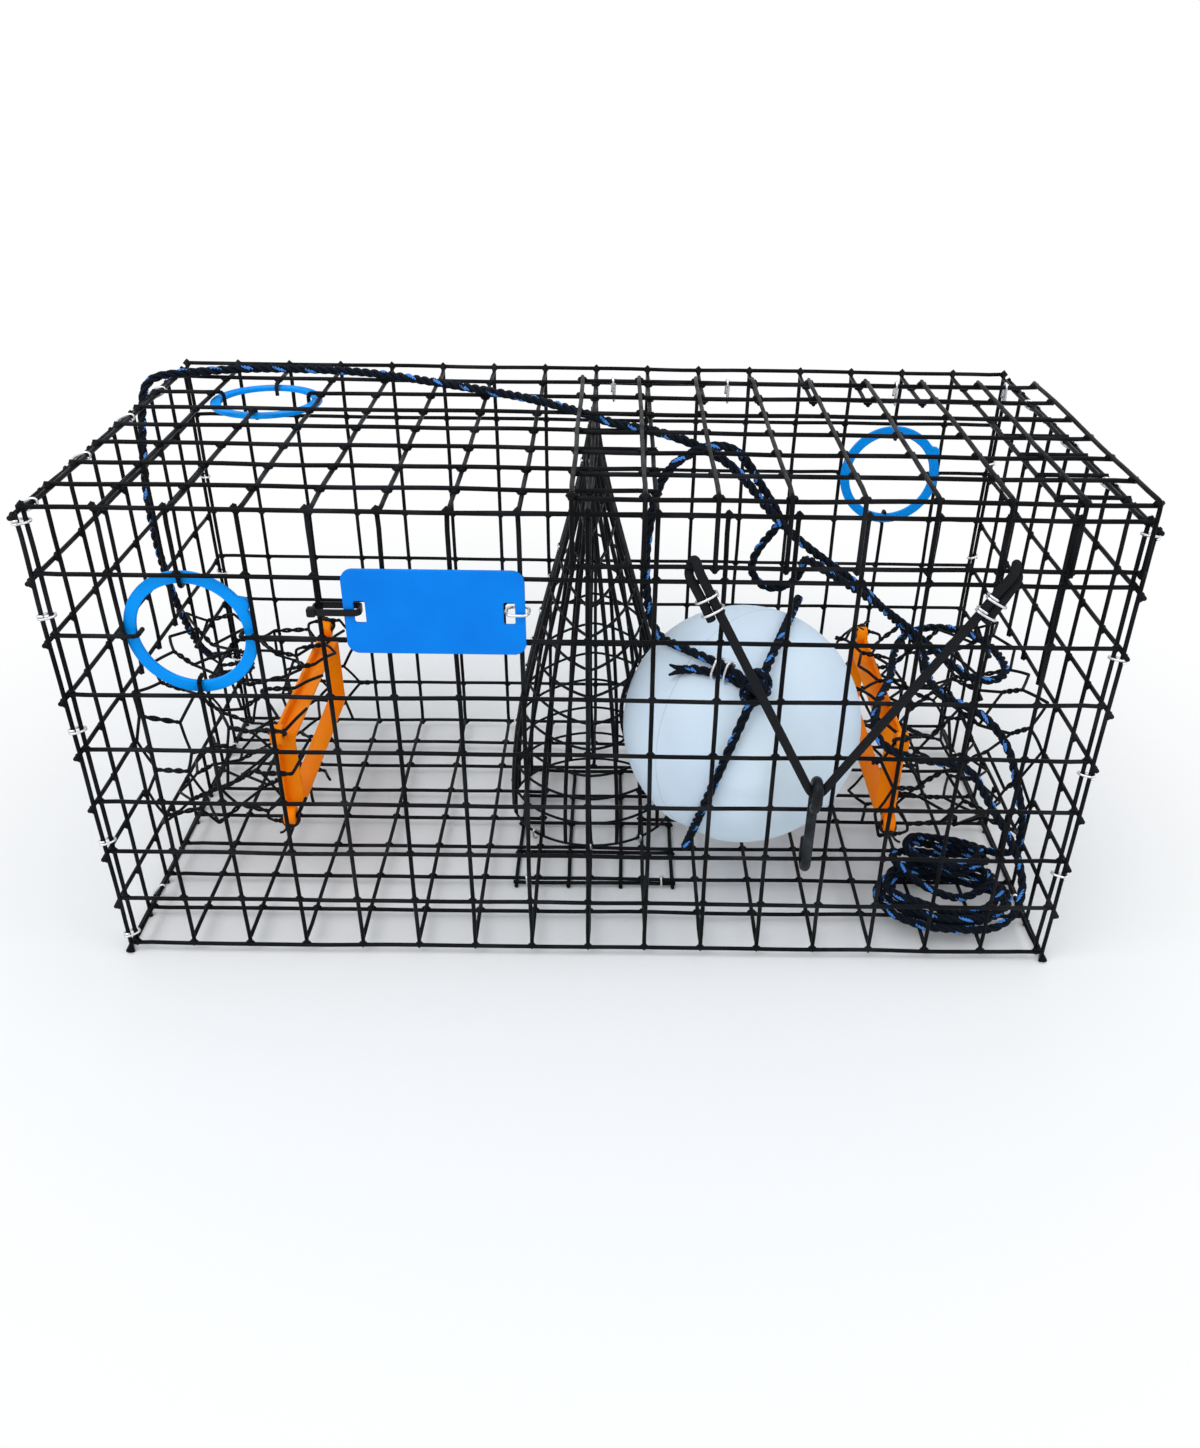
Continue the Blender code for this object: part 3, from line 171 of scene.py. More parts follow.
# Tag, its clip and its tie
TAG_LONG, TAG_HIGH, TAG_THICK, TAG_CORNER = 102.0, 51.0, 2.4, 7.0
TAG_X, TAG_Y, TAG_Z = -86.0, FRONT_Y - HALF_WIRE - GAP - TAG_THICK / 2, FLOOR_Z + 247.5
SLOT_WIDE, SLOT_HIGH, SLOT_INSET, SLOT_CORNER = 6.5, 13.5, 9.0, 1.2
CLIP_WIRE, CLIP_ROOM, CLIP_CORNER = 1.8, 1.0, 4.0
TIE_COLUMN, TIE_WIDE, TIE_THICK, TIE_CORNER, STRAP_HALF = 4, 3.8, 1.2, 3.4, 0.55
HEAD_WIDE, HEAD_HIGH, HEAD_DEEP, HEAD_CORNER = 5.2, 5.4, 4.6, 1.2

# Hook and bungee
HOOK_X = 139.5
HOOK_ROW_Z = FLOOR_Z + 2 * CELL
HOOK_TOP_Z = HOOK_ROW_Z + 66.0
HOOK_TIP, HOOK_CLOSED = 13.0, 13.0
HOOK_ROUND = (HOOK_EYE + HOOK_ROD) / 2
HOOK_BEND = HALF_WIRE + GAP + HOOK_ROD / 2
SHANK_Y = FRONT_Y - HOOK_BEND
BUNGEE = 5.4
BUNGEE_ENDS = (61.0, 233.0)
TAIL = 30.0
BUNGEE_START, BUNGEE_TURNED, BUNGEE_STEPS = -80, 270, 12
CLAMP_SHARES = (0.1, 0.7)
ROD_STEP = 1.5

# Rope: steps along it, lay of its strands, and the tracer yarn's period, reach and half width
ROPE_STEP = 1.7
LAY = 21.0
STRAND_SIDES = 8
STRAND, STRAND_OUT = ROPE_LOOK * 0.238, ROPE_LOOK * 0.262
YARN_PERIOD, YARN_SHOWN, YARN_WIDE = 0.54 * LAY, 1.45, 0.85

# Routes of the rope, in millimetres from the middle of the floor panel
TAIL_ROUTE = [
    (93.9, -117.6, 184.3), (86.4, -113.1, 186.7), (79.1, -109.0, 187.5), (71.6, -105.6, 186.7),
    (65.2, -101.6, 186.0), (57.3, -97.7, 183.1),
]
# The line's two routes, as in the part's source
TRAP_ROUTE = [
    (-316, 108, 63), (-316, 122, 58), (-311, 135, 54), (-301, 140, 51), (-295, 150, 51),
    (-300, 161, 52), (-311, 166, 54), (-322, 160, 58), (-325, 147, 64), (-322, 131, 71),
    (-318, 117, 81), (-316, 100, 94), (-316, 86, 112), (-316, 72, 136), (-316, 60, 165),
    (-316, 52, 198), (-316, 51, 232), (-316, 58, 260), (-316.2, 70, 284), (-316.4, 79, 296),
    (-315, 84, 305), (-310, 89, 310), (-300, 96, 310.8), (-280, 109, 309.8),
    (-250, 119, 309.6), (-214, 120, 309.6), (-178, 116, 309.6), (-146, 106, 309.6),
    (-115, 91, 309.6), (-80, 73, 309.6), (-44, 52, 309.6), (-10, 23, 309.8), (14, -3, 309.8),
    (38, -17, 309.8), (60, -30, 307), (81, -38, 299), (97, -33, 284), (110, -27, 267),
    (128, -20, 247), (146, -18, 232), (168, -10, 214), (190, 3, 194), (210, 18, 172),
    (230, 33, 151), (241, 37, 140), (246, 27, 134), (243, 8, 132.5), (242, -14, 132),
    (246, -36, 133), (255, -54, 136), (264, -69, 137), (273, -81, 131), (281, -87, 119),
    (288, -90, 101), (293, -92, 85), (298, -93, 68), (300, -92, 51), (298, -86, 34),
    (291, -73, 21.4), (280, -60.5, 14.7), (268, -55.2, 14),
]
FLOAT_ROUTE = [
    (268, -139, 7.7), (282, -138, 11), (293, -132, 20), (297, -122, 34), (292, -112, 52),
    (283, -106, 68), (273, -102, 82), (264, -100, 96), (256, -99, 108), (245, -100, 116),
    (230, -101, 119), (214, -100, 121), (198, -94, 124), (191, -81, 129), (193, -64, 134),
    (199, -46, 136), (207, -28, 136), (214, -8, 134), (220, 16, 132), (228, 42, 133),
    (240, 60, 135), (257, 66, 137), (276, 54, 141), (288, 30, 144), (293, 2, 145),
    (291, -22, 145), (281, -31, 143), (268, -24, 141), (257, -8, 143), (244, 7, 149),
    (228, 12, 161), (210, 6, 176), (193, -5, 191), (175, -16, 206), (158, -26, 219),
    (147, -24, 226), (143, -10, 222), (144, 0, 212), (141, 4, 202), (132, 5, 195),
    (121, 5, 195), (112, 4, 202),
    (109, 2, 213), (113, 0, 226), (120, -4, 238), (124, -11, 250), (117, -18, 264),
    (107, -22, 279), (99, -25, 292), (90, -31, 302), (79, -39, 307.6), (67, -46, 307.8),
    (55, -50, 303), (46, -50, 294), (40, -50, 280), (37, -50, 262), (35, -50, 240),
    (36, -50, 216), (39, -51, 197), (45, -62, 189), (53, -76, 191), (62.8, -90.3, 193.1),
    (74.9, -102.5, 193.3), (86, -111.1, 191.6),
]
# Loops of the heap from the bottom up: turns laid, middle across and back, half width and depth
HEAP_LOOPS = [
    (0.0, 250, -97, 50, 42), (0.6, 252, -101, 49, 31), (1.4, 247, -107, 41, 27), (2.2, 254, -104, 46, 33),
    (3.0, 249, -107, 47, 25), (3.7, 247, -96, 37, 24), (4.4, 253, -77, 32, 20), (5.1, 257, -73, 31, 19),
    (5.8, 255, -70, 34, 18), (6.5, 258, -75, 32, 20),
]
HEAP_SLOPE = 0.32
HEAP_MESS, HEAP_SETTLES = 0.13, 0.4
HEAP_FINE, HEAP_SMOOTH = 500, 60
HEAP_WAVES = ((1.63, 0.7), (2.21, 2.0), (0.71, 0.0), (0.57, 1.0))
HEAP_SWAY = (22, 18)
HEAP_ENDS, LINE_EASED = 8, 14
LANDING_SHARES = (1.0, 0.85, 0.5, 0.2)


# Mesh making

def add_object(name, data):
    obj = bpy.data.objects.new(name, data)
    bpy.context.scene.collection.objects.link(obj)
    return obj


def dress(obj, slot, *nodes, body="cage"):
    """Gives a piece its body and hides the nodes that it stands for; its material slot is not used."""
    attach(obj, body)
    if nodes:
        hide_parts(*nodes)


class Shape:
    """Gathers tubes and other faces in millimetres, and becomes one object."""

    def __init__(self):
        self.points, self.faces, self.slots, self.uvs = [], [], [], []

    def add(self, points, faces, slots=None, uvs=None):
        start = len(self.points)
        self.points += [tuple(p) for p in points]
        self.faces += [[start + i for i in face] for face in faces]
        self.slots += slots or [0] * len(faces)
        self.uvs += uvs or [[(0.0, 0.0)] * len(face) for face in faces]

    def build(self, name, *materials, smooth=True):
        mesh = bpy.data.meshes.new(name)
        mesh.from_pydata([(x * MM, y * MM, z * MM) for x, y, z in self.points], [], self.faces)
        layer = mesh.uv_layers.new(name="UVMap")
        layer.data.foreach_set("uv", [value for face in self.uvs for uv in face for value in uv])
        mesh.polygons.foreach_set("material_index", self.slots)
        mesh.polygons.foreach_set("use_smooth", [smooth] * len(self.faces))
        for material in materials:
            mesh.materials.append(material)
        mesh.validate()
        mesh.update()
        return add_object(name, mesh)


def unit(vector):
    return vector / np.linalg.norm(vector)


def frames(points, closed=False):
    """Tangents and a steady side direction along a path."""
    path = np.array([tuple(p) for p in points], float)
    if closed:
        tangents = np.roll(path, -1, 0) - np.roll(path, 1, 0)
    else:
        tangents = np.gradient(path, axis=0)
    tangents /= np.linalg.norm(tangents, axis=1)[:, None]
    first = tangents[0]
    sides = [unit(np.cross(first, np.eye(3)[np.argmin(np.abs(first))]))]
    for tangent in tangents[1:]:
        sides.append(unit(sides[-1] - tangent * np.dot(sides[-1], tangent)))
    sides = np.array(sides)
    if closed:
        last = unit(sides[-1] - first * np.dot(sides[-1], first))
        turn = atan2(np.dot(np.cross(last, sides[0]), first), np.dot(last, sides[0]))
        for k, tangent in enumerate(tangents):
            angle = turn * k / len(path)
            sides[k] = sides[k] * cos(angle) + np.cross(tangent, sides[k]) * sin(angle)
    return path, tangents, sides, np.cross(tangents, sides)


def circles(one, other, around):
    """Directions round each point of a path, from two square ones."""
    angles = np.arange(around)[None, :, None] * 2 * pi / around
    return np.cos(angles) * one[:, None, :] + np.sin(angles) * other[:, None, :]


def run_along(path):
    """Distance of each point along a path."""
    return np.concatenate([[0], np.cumsum(np.linalg.norm(np.diff(path, axis=0), axis=1))])


def tube_faces(count, around, closed=False):
    """Faces from each ring of points to the next."""
    faces = []
    for k in range(count if closed else count - 1):
        after = (k + 1) % count
        for i in range(around):
            j = (i + 1) % around
            faces.append([k * around + i, k * around + j, after * around + j, after * around + i])
    return faces


def tube(shape, rings, along, closed=False, slots=None):
    """Rings of points as a tube with ends, its surface measured along and round it."""
    count, around = rings.shape[:2]
    faces, uvs = tube_faces(count, around, closed), []
    for low, high in zip(along, along[1:]):
        for i in range(around):
            u, v = i / around, (i + 1) / around
            uvs.append([(low, u), (low, v), (high, v), (high, u)])
    slots = list(slots or [0] * len(faces))
    if not closed:
        faces += [list(range(around))[::-1], [(count - 1) * around + i for i in range(around)]]
        slots += [0, 0]
        uvs += [[(0.0, 0.0)] * around] * 2
    shape.add(rings.reshape(-1, 3), faces, slots, uvs)


def sweep(shape, points, radius, around=8, closed=False, wide=1.0):
    """A round tube along a path, with one radius or one for each point, wider on its side direction."""
    path, tangents, sides, ups = frames(points, closed)
    radii = np.broadcast_to(radius, len(path))[:, None, None]
    along = run_along(np.vstack([path, path[:1]]) if closed else path)
    tube(shape, path[:, None, :] + circles(sides * wide, ups, around) * radii, along, closed)


def turned(one, other, angle):
    """The first direction turned toward the other."""
    return one * cos(angle) + other * sin(angle)


def loop(middle, one, other, steps):
    """Points once round an ellipse, from its two half axes."""
    return [middle + turned(one, other, 2 * pi * k / steps) for k in range(steps)]


def smooth_curve(points, fine):
    """Dense points along a smooth curve through the given ones."""
    points = [Vector(p) for p in points]
    dense = []
    for k, (start, end) in enumerate(zip(points, points[1:])):
        before, after = points[max(k - 1, 0)], points[min(k + 2, len(points) - 1)]
        pull, push = (end - before) * 0.5, (after - start) * 0.5
        for m in range(fine):
            t = m / fine
            dense.append(start * (2 * t ** 3 - 3 * t ** 2 + 1) + pull * (t ** 3 - 2 * t ** 2 + t)
                         + end * (-2 * t ** 3 + 3 * t ** 2) + push * (t ** 3 - t ** 2))
    return dense + [points[-1].copy()]


def evenly(points, step):
    """The same path with its points a step apart."""
    path = np.array([tuple(p) for p in points], float)
    along = run_along(path)
    at = np.linspace(0, along[-1], max(2, int(round(along[-1] / step)) + 1))
    return np.stack([np.interp(at, along, path[:, k]) for k in range(3)], axis=1)


def eased(points, times):
    """The path with its corners rounded by averaging, ends kept."""
    path = np.array(points, float)
    for _ in range(times):
        path[1:-1] = path[1:-1] * 0.5 + (path[:-2] + path[2:]) * 0.25
    return path


def arc(centre, radius, start, end, steps):
    angles = [radians(start + (end - start) * k / steps) for k in range(steps + 1)]
    return [(centre[0] + radius * cos(a), centre[1] + radius * sin(a)) for a in angles]


def circle(centre, radius, steps):
    return arc(centre, radius, 0, 360, steps)[:-1]


def rounded_rectangle(wide, high, corner, steps):
    points = []
    for sx, sy, start in ((1, 1, 0), (-1, 1, 90), (-1, -1, 180), (1, -1, 270)):
        centre = (sx * (wide / 2 - corner), sy * (high / 2 - corner))
        points += arc(centre, corner, start, start + 90, steps)
    return points


LEVEL = ((1, 0, 0), (0, 1, 0), (0, 0, 1))
UPRIGHT = ((1, 0, 0), (0, 0, -1), (0, 1, 0))
SHARP = radians(50)


def plate(name, outlines, thickness, bevel, material, middle, turn=UPRIGHT):
    """Flat moulded piece with rounded edges, from an outline and its holes, turned and set in place."""
    curve = bpy.data.curves.new(name, "CURVE")
    curve.dimensions = "2D"
    curve.fill_mode = "BOTH"
    curve.extrude = (thickness / 2 - bevel) * MM
    curve.bevel_depth = bevel * MM
    curve.bevel_resolution = 2
    curve.offset = -bevel * MM
    for outline in outlines:
        spline = curve.splines.new("POLY")
        spline.points.add(len(outline) - 1)
        for point, (x, y) in zip(spline.points, outline):
            point.co = (x * MM, y * MM, 0.0, 1.0)
        spline.use_cyclic_u = True
    flat = add_object(name, curve)
    bpy.context.view_layer.update()
    mesh = bpy.data.meshes.new_from_object(flat.evaluated_get(bpy.context.evaluated_depsgraph_get()))
    bpy.data.objects.remove(flat, do_unlink=True)
    mesh.materials.clear()
    mesh.materials.append(material)
    mesh.transform(Matrix.Translation(Vector(middle) * MM) @ Matrix(turn).to_4x4())
    mesh.shade_smooth()
    mesh.set_sharp_from_angle(angle=SHARP)
    return add_object(name, mesh)


# Materials

BUMP_DEEP = 0.0006


def fill(tree, node, inputs):
    """Sets a node's inputs: another node's output is linked, and anything else is the value."""
    for name, value in inputs.items():
        if isinstance(value, bpy.types.NodeSocket):
            tree.links.new(value, node.inputs[name])
        else:
            node.inputs[name].default_value = value
    return node.outputs


def add_node(tree, kind, inputs=None, **options):
    node = tree.nodes.new("ShaderNode" + kind)
    for option, value in options.items():
        setattr(node, option, value)
    return fill(tree, node, inputs or {})


def combined(tree, operation, one, other):
    return add_node(tree, "Math", {0: one, 1: other}, operation=operation)["Value"]


def noise(tree, place, scale, detail):
    return add_node(tree, "TexNoise", {"Vector": place, "Scale": scale, "Detail": detail})["Fac"]


def ramp(tree, source, stops):
    node = tree.nodes.new("ShaderNodeValToRGB")
    node.color_ramp.elements[0].position, node.color_ramp.elements[0].color = stops[0]
    node.color_ramp.elements[1].position, node.color_ramp.elements[1].color = stops[-1]
    for position, colour in stops[1:-1]:
        node.color_ramp.elements.new(position).color = colour
    return fill(tree, node, {"Fac": source})["Color"]


def relief(tree, height, strength):
    inputs = {"Height": height, "Strength": strength, "Distance": BUMP_DEEP}
    return add_node(tree, "Bump", inputs)["Normal"]


def new_material(name):
    material = bpy.data.materials.new(name)
    material.use_nodes = True
    return material, material.node_tree, material.node_tree.nodes["Principled BSDF"]


def surface(name, colours, rough, bump, metallic=0.0, tint_scale=60.0, grain_scale=900.0, specular=0.25):
    """Procedural finish: colour and roughness drift slowly, and a fine grain bumps the surface."""
    material, tree, shader = new_material(name)
    place = add_node(tree, "TexCoord")["Object"]
    tints = [(0.3 + 0.4 * k / (len(colours) - 1), (*c, 1.0)) for k, c in enumerate(colours)]
    gloss = [(0.35, (rough[0],) * 3 + (1.0,)), (0.65, (rough[1],) * 3 + (1.0,))]
    fill(tree, shader, {
        "Metallic": metallic,
        "Specular IOR Level": specular,
        "Base Color": ramp(tree, noise(tree, place, tint_scale, 4.0), tints),
        "Roughness": ramp(tree, noise(tree, place, tint_scale * 3, 3.0), gloss),
        "Normal": relief(tree, noise(tree, place, grain_scale, 3.0), bump),
    })
    return material


def woven(name, dark, light, across, along, bump, rough):
    """Braided sheath: two sets of slanting ridges over a tube's own length and turn, coloured with painted
    shade in the grooves and a painted highlight on the ridges.
    """
    material, tree, shader = new_material(name)
    uv = add_node(tree, "TexCoord")["UV"]
    bands = []
    for lean in (1, -1):
        mapping = add_node(tree, "Mapping", {"Vector": uv, "Scale": (along, across * lean, 0.0)})
        bands.append(add_node(tree, "TexWave", {"Vector": mapping["Vector"], "Scale": 1.0},
                              wave_type="BANDS", bands_direction="DIAGONAL")["Fac"])
    ridges = combined(tree, "MAXIMUM", *bands)
    fill(tree, shader, {
        "Roughness": rough,
        "Specular IOR Level": 0.06,
        # Painted shade and highlight: the first colour fills the grooves between the ridges, the second
        # their crests
        "Base Color": ramp(tree, ridges, [(0.2, (*dark, 1.0)), (0.95, (*light, 1.0))]),
        "Normal": relief(tree, ridges, bump),
    })
    return material


PLASTIC = {"rough": (0.34, 0.46), "bump": 0.12, "tint_scale": 25.0, "grain_scale": 1500.0, "specular": 0.08}
ROPE_WEAVE = (3.1416, 1.3)
black = surface("black_coating", [(0.004, 0.0042, 0.005), (0.006, 0.0065, 0.008), (0.016, 0.017, 0.02)],
                (0.3, 0.5), 0.25, tint_scale=30.0, grain_scale=700.0, specular=0.05)
net_black = surface("black_netting", [(0.004, 0.0042, 0.005), (0.012, 0.0125, 0.015)],
                    (0.36, 0.56), 0.4, tint_scale=40.0, grain_scale=600.0, specular=0.06)
rod_black = surface("black_rod", [(0.005, 0.006, 0.008), (0.012, 0.014, 0.017), (0.03, 0.036, 0.042)],
                    (0.26, 0.42), 0.3, tint_scale=70.0, grain_scale=500.0, specular=0.12)
steel = surface("galvanised_wire", [(0.62, 0.63, 0.65), (0.82, 0.83, 0.85)], (0.22, 0.4), 0.2,
                metallic=1.0, tint_scale=200.0, grain_scale=1200.0)
orange = surface("orange_plastic", [(0.98, 0.21, 0.0), (1.0, 0.245, 0.0), (1.0, 0.28, 0.0)], **PLASTIC)
blue = surface("blue_plastic", [(0.0, 0.27, 0.86), (0.0, 0.3, 0.92), (0.0, 0.325, 0.95)], **PLASTIC)
tag_blue = surface("tag_plastic", [(0.0, 0.18, 0.71), (0.0, 0.2, 0.77), (0.0, 0.22, 0.81)], **PLASTIC)
foam = surface("white_foam", [(0.69, 0.83, 0.98), (0.73, 0.87, 0.995), (0.77, 0.9, 1.0)],
               (0.5, 0.68), 0.18, tint_scale=14.0, grain_scale=420.0)
foam_seam = surface("foam_seam", [(0.5, 0.6, 0.72), (0.6, 0.7, 0.82)], (0.5, 0.68), 0.1, tint_scale=40.0,
                    grain_scale=420.0)
nylon = surface("black_nylon", [(0.006, 0.006, 0.007), (0.012, 0.012, 0.013)], (0.25, 0.4), 0.1,
                tint_scale=50.0, grain_scale=900.0, specular=0.12)
# Braids: in each pair the first colour is painted shade in the grooves and the second a painted highlight on
# the ridges; the tracer's pair spans its flecks in shade and in light
rope_black = woven("rope_black", (0.003, 0.0045, 0.008), (0.013, 0.018, 0.03), *ROPE_WEAVE, 0.7, 0.62)
rope_blue = woven("rope_tracer", (0.035, 0.17, 0.6), (0.1, 0.36, 0.95), *ROPE_WEAVE, 0.5, 0.5)
sheath = woven("bungee_sheath", (0.004, 0.004, 0.005), (0.022, 0.023, 0.026), 7.54, 0.6, 0.8, 0.7)


# Cage panels

ACROSS, BACK, UP = Vector((1, 0, 0)), Vector((0, 1, 0)), Vector((0, 0, 1))
FRONT_CORNER, BACK_CORNER = Vector((LEFT, FRONT_Y, FLOOR_Z)), Vector((LEFT, BACK_Y, FLOOR_Z))
TOP_CORNER = Vector((LEFT, FRONT_Y, TOP_Z))


def block(columns, rows):
    """Cells between two columns and two rows."""
    return {(i, j) for i in range(*columns) for j in range(*rows)}


def stretches(line, count, has_cell):
    """Runs of cells beside one line of the mesh, as their first and last crossings."""
    runs, start = [], None
    for k in range(count + 1):
        beside = k < count and (has_cell(line - 1, k) or has_cell(line, k))
        if beside and start is None:
            start = k
        if not beside and start is not None:
            runs.append((start, k))
            start = None
    return runs


def averaged(values, times):
    """Each value, but for the two at the ends, drawn to the mean of itself and its neighbours."""
    for _ in range(times):
        values[1:-1] = (values[:-2] + values[1:-1] + values[2:]) / 3
    return values


def bent(points, rng, amount):
    """A straight wire path with points every third of a cell and small, smooth bends."""
    path = evenly(points, CELL / 3)
    if len(path) > 4:
        shift = averaged(np.array([[rng.uniform(-1, 1) for _ in range(3)] for _ in path]), 3)
        shift[0] = shift[-1] = 0
        path = path + shift * amount
    return path


def bend(before, corner, after, radius):
    """Points of a round bend in place of a corner."""
    back, on = (before - corner).normalized(), (after - corner).normalized()
    return [corner + back * radius * (1 - k / 6) ** 2 + on * radius * (k / 6) ** 2 for k in range(7)]


def weld_spots(shape, spots, normal, side):
    """Small swellings of the coating where two wires cross."""
    up = normal.cross(side)
    for spot in spots:
        points = []
        for r in range(WELD_RINGS + 1):
            tilt = pi * r / WELD_RINGS
            for i in range(WELD_SIDES):
                out = turned(side, up, 2 * pi * i / WELD_SIDES)
                reach = sin(tilt) * (WELD_IN if i % 2 else WELD_OUT)
                point = spot + normal * cos(tilt) * WELD_HALF + out * reach
                point.z = max(point.z, LOWEST)
                points.append(point)
        shape.add(points, tube_faces(WELD_RINGS + 1, WELD_SIDES))


def panel(name, columns, rows, missing, across, up, inward, corner, seed, ring=None, trim=0.0,
          edge_rows=True, body="cage"):
    """A welded panel of round wires: rows in front, columns behind them, touching at each crossing."""
    rng = random.Random(seed)
    shape = Shape()
    holes = set(missing)
    if ring:
        holes |= block((ring[0] - 1, ring[0] + 1), (ring[1] - 1, ring[1] + 1))

    def has_cell(i, j):
        return 0 <= i < columns and 0 <= j < rows and (i, j) not in holes

    def put(a, b, c):
        return corner + across * a + up * b + inward * c

    def wire(line, depth, run, is_row, low, high):
        """One wire, with a bent stub behind it where it ends at the escape ring."""
        def spot(a, c):
            return put(a, line * CELL, c) if is_row else put(line * CELL, a, c)

        ends = [max(run[0] * CELL - OVERHANG, low), min(run[1] * CELL + OVERHANG, high)]
        stub = None
        if ring and line == ring[is_row]:
            for end, way in ((1, -1), (0, 1)):
                if run[end] == ring[1 - is_row] + way:
                    tip = ring[1 - is_row] * CELL + way * STUB_REACH
                    ends[end] = tip + way * STUB_BEND
                    stub = [(ends[end], depth), (tip, depth + STUB_BEND / 2), (tip, STUB_TIP)]
        sweep(shape, bent([spot(a, depth) for a in ends], rng, WANDER), HALF_WIRE)
        if stub:
            sweep(shape, eased(evenly([spot(a, c) for a, c in stub], 1.0), 4), HALF_WIRE)

    row_lines = range(rows + 1) if edge_rows else range(1, rows)
    for j in row_lines:
        for run in stretches(j, columns, lambda line, k: has_cell(k, line)):
            wire(j, NEAR_LAYER, run, 1, -OVERHANG, columns * CELL + OVERHANG)
    for i in range(columns + 1):
        for run in stretches(i, rows, has_cell):
            wire(i, FAR_LAYER, run, 0, trim - OVERHANG, rows * CELL + OVERHANG - trim)
    spots = []
    for i in range(columns + 1):
        for j in row_lines:
            hinged = body != "cage" and j == 0
            if any(has_cell(i + a, j + b) for a in (-1, 0) for b in (-1, 0)) and not hinged:
                spots.append(put(i * CELL, j * CELL, LAYER / 2))
    weld_spots(shape, spots, inward, across)
    dress(shape.build(name + "_wires", black), "coated_wire", name, body=body)


panel("front_panel", COLUMNS, HIGH, (), ACROSS, UP, BACK, FRONT_CORNER, 1, ring=FRONT_RING)
panel("back_panel", COLUMNS, HIGH, (), ACROSS, UP, -BACK, BACK_CORNER, 2, ring=BACK_RING)
panel("top_panel", COLUMNS, DEEP, block(OPENING_COLUMNS, OPENING_ROWS), ACROSS, BACK, -UP, TOP_CORNER, 3,
      ring=TOP_RING, trim=TRIM, edge_rows=False)
panel("floor_panel", COLUMNS, DEEP, block(BAIT_COLUMNS, BAIT_ROWS), ACROSS, BACK, UP, FRONT_CORNER, 4,
      trim=TRIM, edge_rows=False)
for end, way in (("left", -1), ("right", 1)):
    panel(f"{end}_end_panel", DEEP, HIGH, block(MOUTH_COLUMNS, MOUTH_ROWS), BACK, UP, -way * ACROSS,
          Vector((way * END_X, FRONT_Y, END_Z)), 6 + way)
panel("bait_door", BAIT_DOOR_COLUMNS, BAIT_DOOR_ROWS, (), ACROSS, BACK, -UP,
      Vector((BAIT_DOOR_LEFT, BAIT_HINGE_Y, BAIT_DOOR_Z)), 9, body="bait_door")


def make_door():
    """Door of round wires, its columns bent down over the front."""
    rng = random.Random(10)
    shape = Shape()
    pitch = (HINGE_Y - FLANGE_Y) / DOOR_ROWS
    rows = [(HINGE_Y - j * pitch, DOOR_Z + NEAR_LAYER) for j in range(DOOR_ROWS + 1)]
    for y, z in rows + [(FLANGE_Y, DOOR_Z - CELL)]:
        left, right = DOOR_LEFT - OVERHANG, DOOR_LEFT + DOOR_COLUMNS * DOOR_PITCH + OVERHANG
        sweep(shape, bent([(left, y, z), (right, y, z)], rng, ROW_WANDER), HALF_WIRE)
    spots, low_spots = [], []
    for i in range(DOOR_COLUMNS + 1):
        x = DOOR_LEFT + i * DOOR_PITCH
        start = Vector((x, HINGE_Y + OVERHANG, DOOR_Z + FAR_LAYER))
        corner = Vector((x, FLANGE_Y - FAR_LAYER, DOOR_Z + FAR_LAYER))
        end = Vector((x, FLANGE_Y - FAR_LAYER, DOOR_Z - CELL - OVERHANG))
        fold = bend(start, corner, end, FLANGE_BEND)
        sweep(shape, [*bent([start, fold[0]], rng, WANDER), *fold[1:], end], HALF_WIRE)
        spots += [Vector((x, y, DOOR_Z + LAYER / 2)) for y, z in rows]
        low_spots.append(Vector((x, FLANGE_Y - LAYER / 2, DOOR_Z - CELL)))
    weld_spots(shape, spots, UP, ACROSS)
    weld_spots(shape, low_spots, BACK, ACROSS)
    dress(shape.build("door_wires", black), "coated_wire", "door", body="door")


make_door()


# Hog rings

def staple(shape, one, other, axis, start, wire=HALF_WIRE, radius=STAPLE, turns=STAPLE_TURNS):
    """An oval spiral of a little over one turn round two wires that run along the axis."""
    axis, apart = axis.normalized(), other - one
    short = wire + radius + STAPLE_AIR
    long = short + apart.length / 2
    apart = (apart - axis * apart.dot(axis)).normalized()
    across = axis.cross(apart)
    steps = int(STAPLE_STEPS * turns)
    points = []
    for k in range(steps + 1):
        angle = start + 2 * pi * turns * k / steps
        c, s = cos(angle), sin(angle)
        stretch = (abs(c) ** STAPLE_SQUARE + abs(s) ** STAPLE_SQUARE) ** (-1 / STAPLE_SQUARE)
        shift = (k / steps - 0.5) * STAPLE_PITCH * radius * turns
        spot = (one + other) / 2 + apart * c * stretch * long + across * s * stretch * short + axis * shift
        spot.z = max(spot.z, radius + LOWEST / 2)
        points.append(spot)
    sweep(shape, points, radius)


def make_edge_rings():
    """Rings that hold the end panels to the others along the cage's edges."""
    shape = Shape()

    def edge(side, y, one_z, other_z, start):
        staple(shape, Vector((side * (END_X - NEAR_LAYER), y + MIDDLE_Y, one_z)),
               Vector((side * LENGTH / 2, y + MIDDLE_Y, other_z)), BACK, start)

    for side, places in TOP_STAPLES.items():
        for y in places:
            edge(side, y, END_Z + HEIGHT, TOP_Z - FAR_LAYER, side * 0.6 + 1.2)
    for side in (-1, 1):
        for y, way, places in ((FRONT_Y, 1, FRONT_STAPLES), (BACK_Y, -1, BACK_STAPLES)):
            for z in places[side]:
                staple(shape, Vector((side * (END_X - FAR_LAYER), y, z + FLOOR_Z)),
                       Vector((side * LENGTH / 2, y + way * FAR_LAYER, z + FLOOR_Z)), UP, 2.4)
    for side, places in LOW_STAPLES.items():
        for y in places:
            edge(side, y, END_Z, FLOOR_Z + FAR_LAYER, 3.0)
    dress(shape.build("edge_rings", steel), "galvanised_ring")


